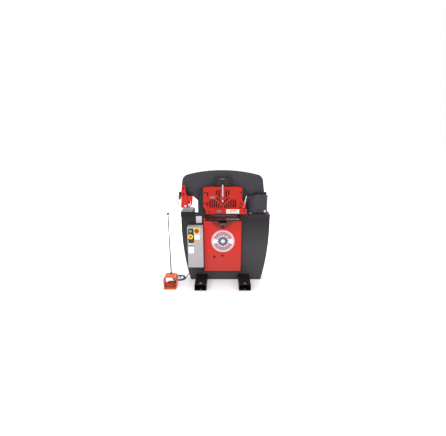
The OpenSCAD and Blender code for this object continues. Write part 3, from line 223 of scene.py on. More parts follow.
def paint(name, colour, edge_colour, rough=0.38, edge=0.5, peel=0.25, spec=0.4, radius=0.0018,
          mottle=0.10, rub=0.45, haze_and_floor_light=None, shade=None):
    """Sprayed paint: slight mottling, orange peel, rub marks and worn edges.

    haze_and_floor_light is painted floor light, a paler colour towards the bottom: its colour,
    the height where it ends, the height where it is full, and its share. shade is a place of
    another colour, painted shade on some parts and the part's own colour on others: the colour,
    the two corners of its box and how soft its border is.
    """
    m, nt, sh = tree(name)
    base, worn = rgb(colour), rgb(edge_colour)
    cloud = remap(nt, noise(nt, PAINT_CLOUD), 0.3, 0.7)
    body = mix_colour(nt, cloud, scaled(base, 1 - mottle), scaled(base, 1 + mottle))
    # Painted floor light: the colour turns paler towards the bottom, as if lit from the pale floor
    if haze_and_floor_light:
        floor_light_colour, top, full, share = haze_and_floor_light
        height = axis_values(nt, object_point(nt))["Z"]
        body = mix_colour(nt, remap(nt, height, top, full, 0.0, share), body, rgb(floor_light_colour))
    marks = remap(nt, noise(nt, PAINT_RUB), 0.56, 0.72, 0.0, 0.35)
    body = mix_colour(nt, times(nt, marks, rub), body, worn)
    chips = remap(nt, noise(nt, PAINT_CHIP), 0.38, 0.62, 0.15, 1.0)
    wear = times(nt, edge_mask(nt, radius), chips)
    body = mix_colour(nt, times(nt, wear, edge), body, worn)
    if shade:
        body = mix_colour(nt, inside_box(nt, *shade[1:]), body, rgb(shade[0]))
    nt.links.new(body, sh.inputs["Base Color"])
    smear = remap(nt, noise(nt, PAINT_SMEAR), 0.25, 0.75, rough - 0.07, rough + 0.09)
    nt.links.new(smear, sh.inputs["Roughness"])
    sh.inputs["Specular IOR Level"].default_value = spec
    bump(nt, sh, noise(nt, PAINT_PEEL), peel, PEEL_DEPTH, radius)
    return m


def metal(name, colour, rough=0.3, grain=EVEN, grain_scale=260.0, stain=0.25, depth=0.25,
          edge=0.4, shaded_sides=None, shade=None):
    """Machined metal with a grain direction, stains and bright worn edges.

    shaded_sides is the colour of painted shade on faces that don't look up, which also lose their
    metal shine; shade is a place of painted shade, given as for paint.
    """
    m, nt, sh = tree(name)
    base = rgb(colour)
    streak = noise(nt, (grain_scale, 3.0, 0.6), grain)
    tint = mix_colour(nt, streak, scaled(base, 0.82), scaled(base, 1.10))
    spots = times(nt, remap(nt, noise(nt, METAL_STAIN), 0.5, 0.75), stain)
    tint = mix_colour(nt, spots, tint, scaled(base, 0.55))
    wear = times(nt, edge_mask(nt, METAL_RADIUS), edge)
    tint = mix_colour(nt, wear, tint, scaled(base, 1.5))
    sh.inputs["Metallic"].default_value = 1.0
    # Painted shade: a dark place
    if shade:
        painted_shade_mask = inside_box(nt, *shade[1:])
        tint = mix_colour(nt, painted_shade_mask, tint, rgb(shade[0]))
    # Painted shade on faces that don't look up: dark, and not metal
    if shaded_sides:
        up = remap(nt, axis_values(nt, true_normal(nt))["Z"], 0.4, 0.7)
        tint = mix_colour(nt, up, rgb(shaded_sides), tint)
        bare = times(nt, up, remap(nt, painted_shade_mask, 0.0, 1.0, 1.0, 0.0)) if shade else up
        nt.links.new(bare, sh.inputs["Metallic"])
        sh.inputs["Specular IOR Level"].default_value = 0.06
    nt.links.new(tint, sh.inputs["Base Color"])
    sheen = remap(nt, streak, 0.2, 0.8, rough - 0.08, rough + 0.12)
    nt.links.new(sheen, sh.inputs["Roughness"])
    bump(nt, sh, streak, depth, GRAIN_DEPTH, METAL_RADIUS)
    return m


def plastic(name, colour, rough=0.4, grain=900.0, depth=0.15, spec=0.5, coat=0.0):
    """Moulded plastic or rubber: fine grain, dusty clouds and soft edges."""
    m, nt, sh = tree(name)
    base = rgb(colour)
    cloud = remap(nt, noise(nt, PLASTIC_DUST), 0.3, 0.7)
    body = mix_colour(nt, cloud, scaled(base, 0.92), scaled(base, 1.08, 0.002))
    nt.links.new(body, sh.inputs["Base Color"])
    smear = remap(nt, noise(nt, PLASTIC_SMEAR), 0.3, 0.7, rough - 0.05, rough + 0.08)
    nt.links.new(smear, sh.inputs["Roughness"])
    sh.inputs["Specular IOR Level"].default_value = spec
    sh.inputs["Coat Weight"].default_value = coat
    bump(nt, sh, noise(nt, (grain, 2.0, 0.5)), depth, MOULD_DEPTH, PLASTIC_RADIUS)
    return m


def film(name, colour, rough, depth=0.05):
    """A smooth printed film."""
    return plastic(name, colour, rough=rough, depth=depth)


def clear_sheet(name):
    """Clear polycarbonate, a little milky along its cut edges."""
    m, nt, sh = tree(name)
    haze_and_floor_light = remap(nt, noise(nt, SHEET_HAZE), 0.3, 0.7, 0.08, 0.2)
    nt.links.new(haze_and_floor_light, sh.inputs["Roughness"])
    rim = times(nt, edge_mask(nt, SHEET_RADIUS), 0.8)
    tint = mix_colour(nt, rim, SHEET_TINT, SHEET_RIM)
    nt.links.new(tint, sh.inputs["Base Color"])
    sh.inputs["Transmission Weight"].default_value = 0.55
    sh.inputs["IOR"].default_value = 1.3
    sh.inputs["Specular IOR Level"].default_value = 0.3
    bump(nt, sh, noise(nt, SHEET_WAVE), 0.1, WAVE_DEPTH, THIN_RADIUS)
    return m


def dipped(name, tone_a, tone_b, level, blur=0.0015):
    """Steel dipped in paint of two close tones up to a level."""
    m, nt, sh = tree(name)
    height = axis_values(nt, object_point(nt))["Z"]
    up = remap(nt, height, level - blur, level + blur)
    grain = noise(nt, LEVER_GRAIN, (8, 8, 1))
    steel = mix_colour(nt, grain, rgb(LEVER_DARK), rgb(LEVER_BRIGHT))
    coat = mix_colour(nt, grain, rgb(tone_a), rgb(tone_b))
    nt.links.new(mix_colour(nt, up, coat, steel), sh.inputs["Base Color"])
    nt.links.new(times(nt, up, 0.9), sh.inputs["Metallic"])
    nt.links.new(remap(nt, grain, 0.2, 0.8, 0.28, 0.44), sh.inputs["Roughness"])
    bump(nt, sh, grain, 0.2, MOULD_DEPTH, THIN_RADIUS)
    return m


# Settings that several paints share
CHARCOAL = dict(rough=0.44, edge=0.6, peel=0.30, spec=0.25, mottle=0.06)
COLUMN = dict(rough=0.48, edge=0.5, spec=0.2, mottle=0.06)
# Frame plates: painted light from the floor, paler below Z 0.82 and fully so below Z 0.45
PLATE = dict(CHARCOAL, haze_and_floor_light=((62, 59, 62), 0.82, 0.45, 1.0))
RED = dict(rough=0.34, edge=0.4, spec=0.3, mottle=0.03, rub=0.12)
CAST = dict(edge=0.4, peel=0.5, mottle=0.08)
OPEN = (None, None, None)

charcoal = paint("charcoal_paint", (53, 50, 56), (34, 32, 36), **CHARCOAL)
# Notcher guard: its side panel right of X 0.5465 is near black, painted shade
notcher_paint = paint("notcher_guard_paint", (53, 50, 56), (34, 32, 36), **CHARCOAL,
                      shade=((14, 13, 14), (0.5465, None, None), OPEN, 0.004))
charcoal_dark = paint("column_paint", (38, 35, 39), (24, 22, 25), **COLUMN)
# Guide bracket: near black below Z 1.287, painted shade where it shows through the guard
bracket_paint = paint("guide_bracket_paint", (38, 35, 39), (24, 22, 25), **COLUMN,
                      shade=((5, 5, 5), OPEN, (None, None, 1.287), 0.004))
plate_paint = paint("frame_plate_paint", (31, 28, 30), (26, 24, 27), **PLATE)
# Front plate: the column behind the guards, X -0.24 to 0.24 and Z 0.944 to 1.286, is near black,
# painted shade
front_paint = paint("front_plate_paint", (31, 28, 30), (26, 24, 27), **PLATE,
                    shade=((5, 5, 5), (-0.24, None, 0.944), (0.24, None, 1.286), 0.004))
guard_red = paint("guard_red_paint", (198, 32, 14), (154, 26, 14), **RED)
shear_red = paint("shear_guard_red_paint", (186, 29, 12), (144, 24, 12), **RED)
bar_red = paint("bar_red_paint", (205, 36, 18), (160, 28, 16), **RED,
                shade=((15, 14, 15), OPEN, (None, -0.2227, None), 0.0004))
# Door: paler and pinker below Z 0.55, a painted reflection of the pale floor
door_red = paint("door_red_paint", (209, 32, 13), (170, 34, 22), rough=0.32, edge=0.4, spec=0.3,
                 mottle=0.03, rub=0.08, haze_and_floor_light=((186, 76, 70), 0.55, 0.16, 0.55))
# Table bracket: red darkened by painted shadow of the table above
bracket_red_shaded = paint("bracket_red_shaded_paint", (122, 30, 20), (170, 70, 52), rough=0.42, edge=0.35)
table_black = paint("table_black_paint", (23, 21, 23), (52, 50, 53), rough=0.5, edge=0.35,
                    spec=0.15, mottle=0.06)
# Clamp: black paint darkened further by painted shadow of the table; its grey lower part is its own
# colour
clamp_black_shaded = paint("clamp_black_shaded_paint", (7, 6, 7), (30, 28, 30), rough=0.55, edge=0.3, spec=0.08,
                    shade=((112, 108, 106), (None, None, 0.806), (None, None, 0.829), 0.001))
skid_black = paint("skid_black_paint", (18, 17, 18), (70, 68, 70), rough=0.40, edge=0.5, spec=0.3)
box_grey = paint("box_grey_powder", (178, 175, 176), (210, 208, 209), rough=0.46, edge=0.3,
                 peel=0.4, spec=0.3, mottle=0.03,
                 shade=((40, 38, 41), OPEN, (-0.4453, None, None), 0.0004))
orange_cast = paint("pedal_orange_cast", (218, 92, 48), (240, 146, 102), rough=0.36,
                    radius=0.004, **CAST)
# Treadle: a darker copy of the pedal's orange, painted shade inside the hood
shaded_treadle = paint("treadle_orange_shaded_cast", (178, 66, 38), (214, 120, 84), rough=0.42, spec=0.25,
                     radius=0.003, **CAST)
# Blades: near black and dull, painted shade where they sit inside the machine
shaded_blade = paint("shaded_blade_steel", (30, 29, 30), (64, 62, 62), rough=0.62, edge=0.3,
                    spec=0.04, radius=THIN_RADIUS)
rod_steel = paint("rod_steel", (48, 47, 43), (92, 90, 83), rough=0.5, edge=0.2, spec=0.12,
                  radius=THIN_RADIUS)
ground_steel = metal("ground_steel", (196, 196, 198), rough=0.34, grain=(1, 12, 12))
bright_steel = metal("turned_steel", (186, 188, 190), rough=0.28, grain=(8, 8, 1))
zinc = metal("zinc_plate", (158, 168, 196), rough=0.36, grain_scale=120.0)
black_steel = metal("black_oxide_steel", (46, 46, 48), rough=0.45, grain_scale=180.0)
tool_steel = metal("tool_steel", (150, 150, 152), rough=0.32, grain=(12, 1, 12))
# Table: its sides and its rear strip behind Y -0.235 are painted shade, dark and without shine
table_steel = metal("shaded_oiled_table_steel", (116, 103, 106), rough=0.22, grain=(10, 1, 1),
                    stain=0.15, depth=0.03, edge=0.05, shaded_sides=(14, 12, 13),
                    shade=((20, 17, 18), (None, -0.235, None), OPEN, 0.08))
die_steel = metal("die_holder_steel", (126, 121, 116), rough=0.48, grain=(1, 12, 12))
chrome = metal("hard_chrome", (205, 206, 210), rough=0.14, grain=(6, 6, 1), stain=0.05, depth=0.05)
bronze = metal("oiled_bronze", (66, 55, 44), rough=0.50, grain=(10, 10, 1))
dim_plate = metal("dim_plate", (126, 124, 130), rough=0.55, grain=(14, 1, 1), stain=0.1)
grey_plate = metal("etched_plate", (188, 182, 184), rough=0.45, grain=(14, 1, 1), stain=0.1)
black_plastic = plastic("black_plastic", (24, 24, 25), rough=0.45)
ball_plastic = plastic("ball_black_plastic", (10, 10, 11), rough=0.38, spec=0.25)
white_plastic = plastic("white_plastic", (216, 216, 212), rough=0.5)
green_plastic = plastic("green_lens", (72, 178, 46), rough=0.28, coat=0.4)
stop_plastic = plastic("stop_red_plastic", (206, 22, 38), rough=0.30, coat=0.3)
knob_plastic = plastic("disconnect_red_plastic", (158, 22, 36), rough=0.34, coat=0.2)
yellow_plastic = plastic("yellow_plastic", (246, 218, 48), rough=0.42)
rubber = plastic("cord_rubber_skin", (26, 26, 27), rough=0.62, grain=1400.0, depth=0.3)
hose_rubber = plastic("hose_rubber_skin", (34, 34, 35), rough=0.6, grain=700.0, depth=0.4)
white_film = film("white_film", (236, 236, 238), 0.38)
orange_film = film("orange_film", (238, 150, 44), 0.38)
blue_film = film("blue_film", (98, 106, 214), 0.38)
yellow_film = film("yellow_film", (240, 226, 74), 0.38)
pale_film = film("pale_film", (232, 231, 234), 0.34)
slate_film = film("slate_film", (84, 92, 116), 0.36)
faded_red_film = film("faded_red_film", (178, 62, 76), 0.36)
rose_film = film("rose_white_film", (222, 200, 218), 0.36)
silver_film = film("silver_film", (196, 202, 208), 0.30, depth=0.08)
lever_mix = dipped("lever_dipped", (206, 44, 28), (232, 62, 44), level=1.088)
clear_plastic = clear_sheet("clear_polycarbonate")

NODE_MATERIALS = {
    "front_plate": front_paint, "rear_plate": plate_paint, "frame_spacers": charcoal,
    "skids": skid_black, "anchor_bushes": zinc, "bronze_strips": bronze,
    "guide_bracket": bracket_paint, "cylinder_base": charcoal, "cylinder_barrel": black_steel,
    "lower_angle_blade": shaded_blade, "lower_flat_blade": shaded_blade, "shear_guard": shear_red,
    "guard_bolts": black_steel, "shear_table": table_steel, "table_bracket": bracket_red_shaded,
    "table_clamp": clamp_black_shaded, "front_door": door_red, "rear_cover": charcoal,
    "oil_tank": charcoal, "motor": charcoal_dark, "valve_block": ground_steel,
    "oil_pipes": hose_rubber, "electrical_box": box_grey, "contactor": white_plastic,
    "die_table": table_black, "die_holder": die_steel, "die": tool_steel,
    "notcher_table": plate_paint, "notcher_die": die_steel, "notcher_guard": notcher_paint,
    "pedal_shell": orange_cast, "treadle_pin": black_steel, "pedal_switch": black_plastic,
    "carrying_rod": rod_steel, "ball_knob": ball_plastic, "cord_glands": black_plastic,
    "pedal_cord": rubber, "upper_beam": charcoal, "guide_key": charcoal_dark,
    "cylinder_rod": chrome, "punch_ram": bright_steel, "coupling_nut": black_steel,
    "punch": tool_steel, "upper_angle_blade": shaded_blade, "upper_flat_blade": shaded_blade,
    "notcher_blade": tool_steel, "end_brackets": skid_black, "side_shield": clear_plastic,
    "guard_studs": black_steel, "punch_guard": guard_red, "guard_shroud": guard_red,
    "angle_screw": bright_steel, "hold_down_bar": bar_red, "hold_down_lever": lever_mix,
    "box_door": box_grey, "control_plate": black_plastic, "start_button": green_plastic,
    "stop_button": stop_plastic, "disconnect_knob": knob_plastic, "treadle": shaded_treadle,
}
for name, material in NODE_MATERIALS.items():
    mesh = nodes[name].data
    if not mesh.materials:
        mesh.materials.append(material)
    for held in nodes[name].material_slots:
        held.material = material


# Forms

SHARP_ANGLE = math.radians(32)
CORNER_STEPS = 5
SOCKET_POINTS = 24
# Shares of a bolt's width across flats, of its head's height, and of a cap screw's radius
WASHER_T, WASHER_R, WASHER_TOP_R = 0.12, 0.92, 0.88
HEX_EDGE, HEX_TOP_R = 0.85, 0.86
CAP_EDGE, CAP_TOP_R, RECESS_R, RECESS_FLOOR = 0.82, 0.9, 0.5, 0.45


def piece(name, bm, body, material, shading="edges"):
    """Turns a bmesh into a piece on a body; shading is "edges", "round" (no edges) or "flat"."""
    bmesh.ops.recalc_face_normals(bm, faces=bm.faces)
    mesh = bpy.data.meshes.new(name)
    bm.to_mesh(mesh)
    bm.free()
    obj = bpy.data.objects.new(name, mesh)
    scene.collection.objects.link(obj)
    mesh.materials.append(material)
    if shading != "flat":
        mesh.shade_smooth()
    if shading == "edges":
        mesh.set_sharp_from_angle(angle=SHARP_ANGLE)
    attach(obj, body)
    return obj


def bridge(bm, a, b):
    """Faces between two closed rows of equal counts."""
    count = len(a)
    for i in range(count):
        j = (i + 1) % count
        bm.faces.new((a[i], a[j], b[j], b[i]))


def loft(bm, rings):
    """A form through rings of equal counts of points, closed at both ends."""
    rows = [[bm.verts.new(p) for p in ring] for ring in rings]
    for a, b in zip(rows, rows[1:]):
        bridge(bm, a, b)
    bm.faces.new(rows[0])
    bm.faces.new(rows[-1])


def loop(bm, rings):
    """A form through rings of equal counts of points, the last joined to the first."""
    rows = [[bm.verts.new(p) for p in ring] for ring in rings]
    for a, b in zip(rows, rows[1:] + rows[:1]):
        bridge(bm, a, b)


def axes(axis):
    """Unit vectors along an axis and across it."""
    axis = Vector(axis).normalized()
    side = axis.orthogonal().normalized()
    return axis, side, axis.cross(side)


def circle(at, side, up, r, segments):
    """Points of a circle in the plane of two unit vectors."""
    return [at + r * (math.cos(t) * side + math.sin(t) * up)
            for t in (2 * math.pi * k / segments for k in range(segments))]


def turned(bm, at, axis, profile, segments=32):
    """A turned form with closed ends: profile is (distance along the axis, radius)."""
    axis, side, up = axes(axis)
    loft(bm, [circle(Vector(at) + axis * d, side, up, r, segments) for d, r in profile])


def ring_plate(bm, at, axis, r_in, r_out, thick, segments=48):
    """A flat ring with chamfered edges, standing off `at` along the axis."""
    axis, side, up = axes(axis)
    c = min(thick * 0.3, (r_out - r_in) * 0.2)
    profile = [(0, r_in), (0, r_out), (thick - c, r_out), (thick, r_out - c), (thick, r_in + c),
               (thick - c, r_in)]
    loop(bm, [circle(Vector(at) + axis * d, side, up, r, segments) for d, r in profile])


def tube(bm, points, radii, segments=16):
    """A closed tube through the points, its frame carried along without twist."""
    rings = []
    side = None
    for i, at in enumerate(points):
        aim = (points[min(i + 1, len(points) - 1)] - points[max(i - 1, 0)]).normalized()
        side = aim.orthogonal() if side is None else side - aim * side.dot(aim)
        side.normalize()
        rings.append(circle(at, side, aim.cross(side), radii[i], segments))
    loft(bm, rings)


def rounded_outline(w, h, r):
    """Outline of a rectangle with round corners, centred on 0."""
    out = []
    for cx, cz, start in ((1, 1, 0), (-1, 1, 90), (-1, -1, 180), (1, -1, 270)):
        for k in range(CORNER_STEPS + 1):
            a = math.radians(start + 90 * k / CORNER_STEPS)
            out.append((cx * (w / 2 - r) + r * math.cos(a), cz * (h / 2 - r) + r * math.sin(a)))
    return out


def face_plate(bm, x0, x1, z0, z1, back_y, thick, r=0.002, chamfer=0.0003):
    """A thin rounded plate facing -Y with its back on back_y."""
    mid_x, mid_z = (x0 + x1) / 2, (z0 + z1) / 2
    w, h = x1 - x0, z1 - z0
    rings = []
    for inset, y in ((0, back_y), (0, back_y - thick + chamfer), (chamfer, back_y - thick)):
        outline = rounded_outline(w - 2 * inset, h - 2 * inset, max(r - inset, 1e-4))
        rings.append([(mid_x + x, y, mid_z + z) for x, z in outline])
    loft(bm, rings)


def hex_head(bm, at, axis, across, tall):
    """A hexagon bolt head with a chamfered top, on a washer."""
    washer, corner = across * WASHER_T, across / math.sqrt(3)
    turned(bm, at, axis, [(0, across * WASHER_R), (washer * 0.8, across * WASHER_R),
                          (washer, across * WASHER_TOP_R)])
    turned(bm, at, axis, [(washer, corner), (washer + tall * HEX_EDGE, corner),
                          (washer + tall, corner * HEX_TOP_R)], 6)


def socket_head(bm, at, axis, r, tall):
    """A socket cap head: rounded rim and a hexagon recess."""
    axis, side, up = axes(axis)
    at = Vector(at)

    def recess(d):
        """The hexagon at that distance, in as many points as the rim."""
        points = []
        for k in range(SOCKET_POINTS):
            t = 2 * math.pi * k / SOCKET_POINTS
            turn = t % (math.pi / 3) - math.pi / 6
            q = RECESS_R * r * math.cos(math.pi / 6) / math.cos(turn)
            points.append(at + axis * d + q * (math.cos(t) * side + math.sin(t) * up))
        return points

    rim = [circle(at + axis * d, side, up, q, SOCKET_POINTS)
           for d, q in ((0, r), (tall * CAP_EDGE, r), (tall, r * CAP_TOP_R))]
    loft(bm, rim + [recess(tall), recess(tall * RECESS_FLOOR)])


def grid(across, heights):
    """Every pair of a place across and a height."""
    return [(x, z) for x in across for z in heights]


# Route of the pedal cord: the points of the CAD source, its two leads eased by up to 3 mm.
GLAND_X = -0.630
CORD_D = 0.008
LAY = 0.004
LEAD_IN = [
    (GLAND_X, -0.218, 0.032), (GLAND_X, -0.196, 0.0315), (-0.626, -0.178, 0.029),
    (-0.6162, -0.1583, 0.0243), (-0.602, -0.141, 0.0166), (-0.5853, -0.1289, 0.0088),
    (-0.5766, -0.1118, 0.0051), (-0.5773, -0.0944, LAY), (-0.5853, -0.0806, LAY),
    (-0.5977, -0.0723, LAY),
]
LEAD_OUT = [
    (-0.4985, -0.0814, LAY), (-0.4936, -0.0502, LAY), (-0.485, -0.015, LAY),
    (-0.4742, 0.029, LAY), (-0.463, 0.075, LAY), (-0.4323, 0.0951, 0.0075),
    (-0.4036, 0.0915, 0.0209), (-0.387, 0.069, 0.041), (-0.385, 0.034, 0.054),
    (-0.385, 0.006, 0.060), (-0.385, -0.028, 0.060),
]
COIL_LEFT, COIL_RIGHT = (-0.612, -0.112), (-0.583, -0.112)
COIL_R, COIL_PITCH, COIL_STEP, COIL_HALVES = 0.042, 0.010, 22.5, 8
HALF_POINTS, LAST_POINTS = 9, 5
SPAN_POINTS, RELAX_PASSES = 4, 2
SLEEVE_L, SLEEVE_R, SLEEVE_RIB, SLEEVE_STEPS = 0.044, 0.0078, 0.0006, 44
SLEEVE_FIT = 0.0004


def cord_route():
    """The cord's points: off the pedal, round the oval coil, then up to the frame."""
    coil = []
    for half in range(COIL_HALVES):
        centre = COIL_LEFT if half % 2 == 0 else COIL_RIGHT
        for step in range(LAST_POINTS if half == COIL_HALVES - 1 else HALF_POINTS):
            angle = 90 + 180 * half + COIL_STEP * step
            r = COIL_R + COIL_PITCH * (angle - 90) / 360
            a = math.radians(angle)
            coil.append((centre[0] + r * math.cos(a), centre[1] + r * math.sin(a), LAY))
    return LEAD_IN + coil + LEAD_OUT


def smooth_path(points):
    """A centripetal Catmull-Rom curve, relaxed so that no bend is sudden and kept off the floor."""
    pts = [Vector(p) for p in points]
    pts = [2 * pts[0] - pts[1]] + pts + [2 * pts[-1] - pts[-2]]
    out = []
    for i in range(1, len(pts) - 2):
        p0, p1, p2, p3 = pts[i - 1:i + 3]
        t0 = 0.0
        t1 = t0 + (p1 - p0).length ** 0.5
        t2 = t1 + (p2 - p1).length ** 0.5
        t3 = t2 + (p3 - p2).length ** 0.5
        for k in range(SPAN_POINTS):
            t = t1 + (t2 - t1) * k / SPAN_POINTS
            a1 = p0.lerp(p1, (t - t0) / (t1 - t0))
            a2 = p1.lerp(p2, (t - t1) / (t2 - t1))
            a3 = p2.lerp(p3, (t - t2) / (t3 - t2))
            b1 = a1.lerp(a2, (t - t0) / (t2 - t0))
            b2 = a2.lerp(a3, (t - t1) / (t3 - t1))
            out.append(b1.lerp(b2, (t - t1) / (t2 - t1)))
    out.append(pts[-2])
    for _ in range(RELAX_PASSES):
        out[1:-1] = [(a + 2 * b + c) / 4 for a, b, c in zip(out, out[1:], out[2:])]
    for at in out:
        at.z = max(at.z, LAY)
    return out


def along(points, distance):
    """The point at that distance along a path."""
    for a, b in zip(points, points[1:]):
        step = (b - a).length
        if distance <= step:
            return a.lerp(b, distance / step)
        distance -= step
    return points[-1].copy()


def rubber_piece(name, points, radii):
    """A rubber tube on the frame."""
    bm = bmesh.new()
    tube(bm, points, radii)
    return piece(name, bm, "frame", rubber, shading="round")


def sleeve(name, points):
    """A tapered, ribbed sleeve that keeps the cord from kinking where it leaves a gland."""
    path, radii = [], []
    for k in range(SLEEVE_STEPS + 1):
        t = k / SLEEVE_STEPS
        path.append(along(points, SLEEVE_L * t))
        rib = SLEEVE_RIB if k % 4 in (1, 2) and 2 < k < SLEEVE_STEPS - 2 else 0.0
        radii.append(SLEEVE_R + (CORD_D / 2 + SLEEVE_FIT - SLEEVE_R) * t + rib)
    return rubber_piece(name, path, radii)


cord_points = smooth_path(cord_route())
cord = rubber_piece("pedal_cord_jacket", cord_points, [CORD_D / 2] * len(cord_points))
sleeves = [sleeve("pedal_cord_sleeve", cord_points), sleeve("frame_cord_sleeve", cord_points[::-1])]
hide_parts("pedal_cord")


# Faces that the pieces below sit on, each at its Y
FRONT = (0, -1, 0)
BACK = (0, 1, 0)
FRONT_Y = -0.160
BEAM_Y = -0.1285
GUIDE_Y = -0.1842
GUARD_Y = -0.210
BAR_Y = -0.2223
DOOR_Y = -0.206
LID_Y = -0.270
PAD_Y = -0.272
PANEL_Y = -0.2732
RING_Y = -0.2747
# A film's gap to the face behind it and its thickness; a bolted piece has twice that gap
GAP, FILM_T = 0.0001, 0.0006

# Controls on the box door
BUTTON_X, STOP_Z, START_Z = -0.404, 0.663, 0.737
STOP_RING, START_BEZEL = (0.0165, 0.0325, 0.0016), (0.0128, 0.0155, 0.0025)
DISCONNECT_BOX, DISCONNECT_T = (-0.3625, -0.2895, 0.6985, 0.7795), 0.0008
PANEL_SCREW = [(0, 0.0032), (0.0012, 0.0032), (0.0018, 0.0022)]
LATCH_X, LATCH_OUT = -0.2720, 0.0042
LATCH_BODY = [(0, 0.0105), (0.003, 0.0105), (LATCH_OUT, 0.009)]
LATCH_KEY = [(0, 0.0062), (0.0012, 0.0062), (0.0016, 0.0055)]
KEY_BAR_W, KEY_BAR_HALF, KEY_BAR_T = 0.0016, 0.0042, 0.0006
bm = bmesh.new()
ring_plate(bm, (BUTTON_X, RING_Y, STOP_Z), FRONT, *STOP_RING)
piece("stop_ring", bm, "box_door", yellow_plastic)
bm = bmesh.new()
face_plate(bm, *DISCONNECT_BOX, PAD_Y, DISCONNECT_T, r=0.003)
piece("disconnect_backplate", bm, "box_door", yellow_plastic)
bm = bmesh.new()
ring_plate(bm, (BUTTON_X, PANEL_Y, START_Z), FRONT, *START_BEZEL)
piece("start_bezel", bm, "box_door", bright_steel)
bm = bmesh.new()
for x, z in grid((-0.428, -0.367), (0.583, 0.764)):
    turned(bm, (x, PANEL_Y, z), FRONT, PANEL_SCREW, 20)
piece("panel_screws", bm, "box_door", bright_steel)
bm = bmesh.new()
for z in (0.669, 0.405):
    turned(bm, (LATCH_X, LID_Y, z), FRONT, LATCH_BODY)
    turned(bm, (LATCH_X, LID_Y - LATCH_OUT, z), FRONT, LATCH_KEY, 24)
    face_plate(bm, LATCH_X - KEY_BAR_W / 2, LATCH_X + KEY_BAR_W / 2, z - KEY_BAR_HALF,
               z + KEY_BAR_HALF, LID_Y - LATCH_OUT - LATCH_KEY[-1][0], KEY_BAR_T, r=0.0006)
piece("door_latches", bm, "box_door", bright_steel)

# Bare plates where the photograph has labels
PLATES = [
    ("bare_plate_white", "box_door", white_film, -0.356, -0.288, 0.624, 0.692, LID_Y),
    ("bare_plate_orange", "box_door", orange_film, -0.356, -0.288, 0.602, 0.6215, LID_Y),
    ("bare_plate_yellow", "box_door", yellow_film, -0.438, -0.366, 0.5525, 0.568, LID_Y),
    ("bare_plate_blue", "box_door", blue_film, -0.438, -0.366, 0.531, 0.5505, LID_Y),
    ("bare_plate_low", "box_door", white_film, -0.438, -0.366, 0.434, 0.529, LID_Y),
    ("bare_placard", "frame", grey_plate, -0.341, -0.267, 0.807, 0.900, FRONT_Y),
    ("bare_guard_plate", "frame", dim_plate, -0.152, -0.097, 1.140, 1.166, GUARD_Y),
    ("bare_bar_plate", "hold_down_bar", dim_plate, -0.072, -0.020, 0.958, 0.994, BAR_Y),
    ("bare_bar_label", "hold_down_bar", white_film, 0.043, 0.206, 0.950, 1.005, BAR_Y),
    ("bare_bar_stripe", "hold_down_bar", orange_film, 0.095, 0.178, 0.980, 0.995, BAR_Y - FILM_T),
]
for name, body, material, x0, x1, z0, z1, y in PLATES:
    bm = bmesh.new()
    face_plate(bm, x0, x1, z0, z1, y - GAP, FILM_T)
    piece(name, bm, body, material)

# The door's round picture gives way to a plain toothed wheel between two sets of arcs
DISC_X, DISC_Z, DISC_R, RIM_R = 0.003, 0.5765, 0.1285, 0.1500
DISC_PROFILE = [(0, DISC_R), (0.0005, DISC_R), (0.0007, DISC_R - 0.0004)]
RIM_GAP, RIM_T, DISC_SEGMENTS = 0.0005, 0.0009, 96
PRINT_BACK, PRINT_FRONT = DOOR_Y - 0.0008, DOOR_Y - 0.0012
WHEEL_TEETH, TOOTH_POINTS = 12, 8
WHEEL_TIP, WHEEL_ROOT, WHEEL_BORE = 0.072, 0.060, 0.026
ARC_STARTS, ARC_SPAN, ARC_STEPS = (18, 198), 144, 40
ARC_RADII = ((0.080, 0.093), (0.097, 0.109), (0.113, 0.124))


def polar(radius, degrees, y):
    """A point of the disc's face."""
    a = math.radians(degrees)
    return DISC_X + radius * math.cos(a), y, DISC_Z + radius * math.sin(a)


disc_at = (DISC_X, DOOR_Y - GAP, DISC_Z)
bm = bmesh.new()
turned(bm, disc_at, FRONT, DISC_PROFILE, DISC_SEGMENTS)
piece("door_disc", bm, "frame", pale_film)
bm = bmesh.new()
ring_plate(bm, disc_at, FRONT, DISC_R + RIM_GAP, RIM_R, RIM_T, DISC_SEGMENTS)
piece("door_disc_rim", bm, "frame", silver_film)
wheel = []
for k in range(WHEEL_TEETH * TOOTH_POINTS):
    tip = k % TOOTH_POINTS < TOOTH_POINTS // 2
    wheel.append((WHEEL_TIP if tip else WHEEL_ROOT, 360 * k / (WHEEL_TEETH * TOOTH_POINTS)))
bm = bmesh.new()
loop(bm, [[polar(WHEEL_BORE if bore else r, turn, y) for r, turn in wheel]
          for bore, y in ((True, PRINT_BACK), (False, PRINT_BACK), (False, PRINT_FRONT),
                          (True, PRINT_FRONT))])
piece("door_disc_wheel", bm, "frame", slate_film)
bm = bmesh.new()
for start in ARC_STARTS:
    turns = [start + ARC_SPAN * k / ARC_STEPS for k in range(ARC_STEPS + 1)]
    for r_low, r_high in ARC_RADII:
        outline = [(r_high, t) for t in turns] + [(r_low, t) for t in turns[::-1]]
        rows = [[bm.verts.new(polar(r, t, y)) for r, t in outline]
                for y in (PRINT_FRONT, PRINT_BACK)]
        bridge(bm, *rows)
        for row in rows:
            for i in range(ARC_STEPS):
                bm.faces.new((row[i], row[i + 1], row[-2 - i], row[-1 - i]))
piece("door_disc_arcs", bm, "frame", faded_red_film)

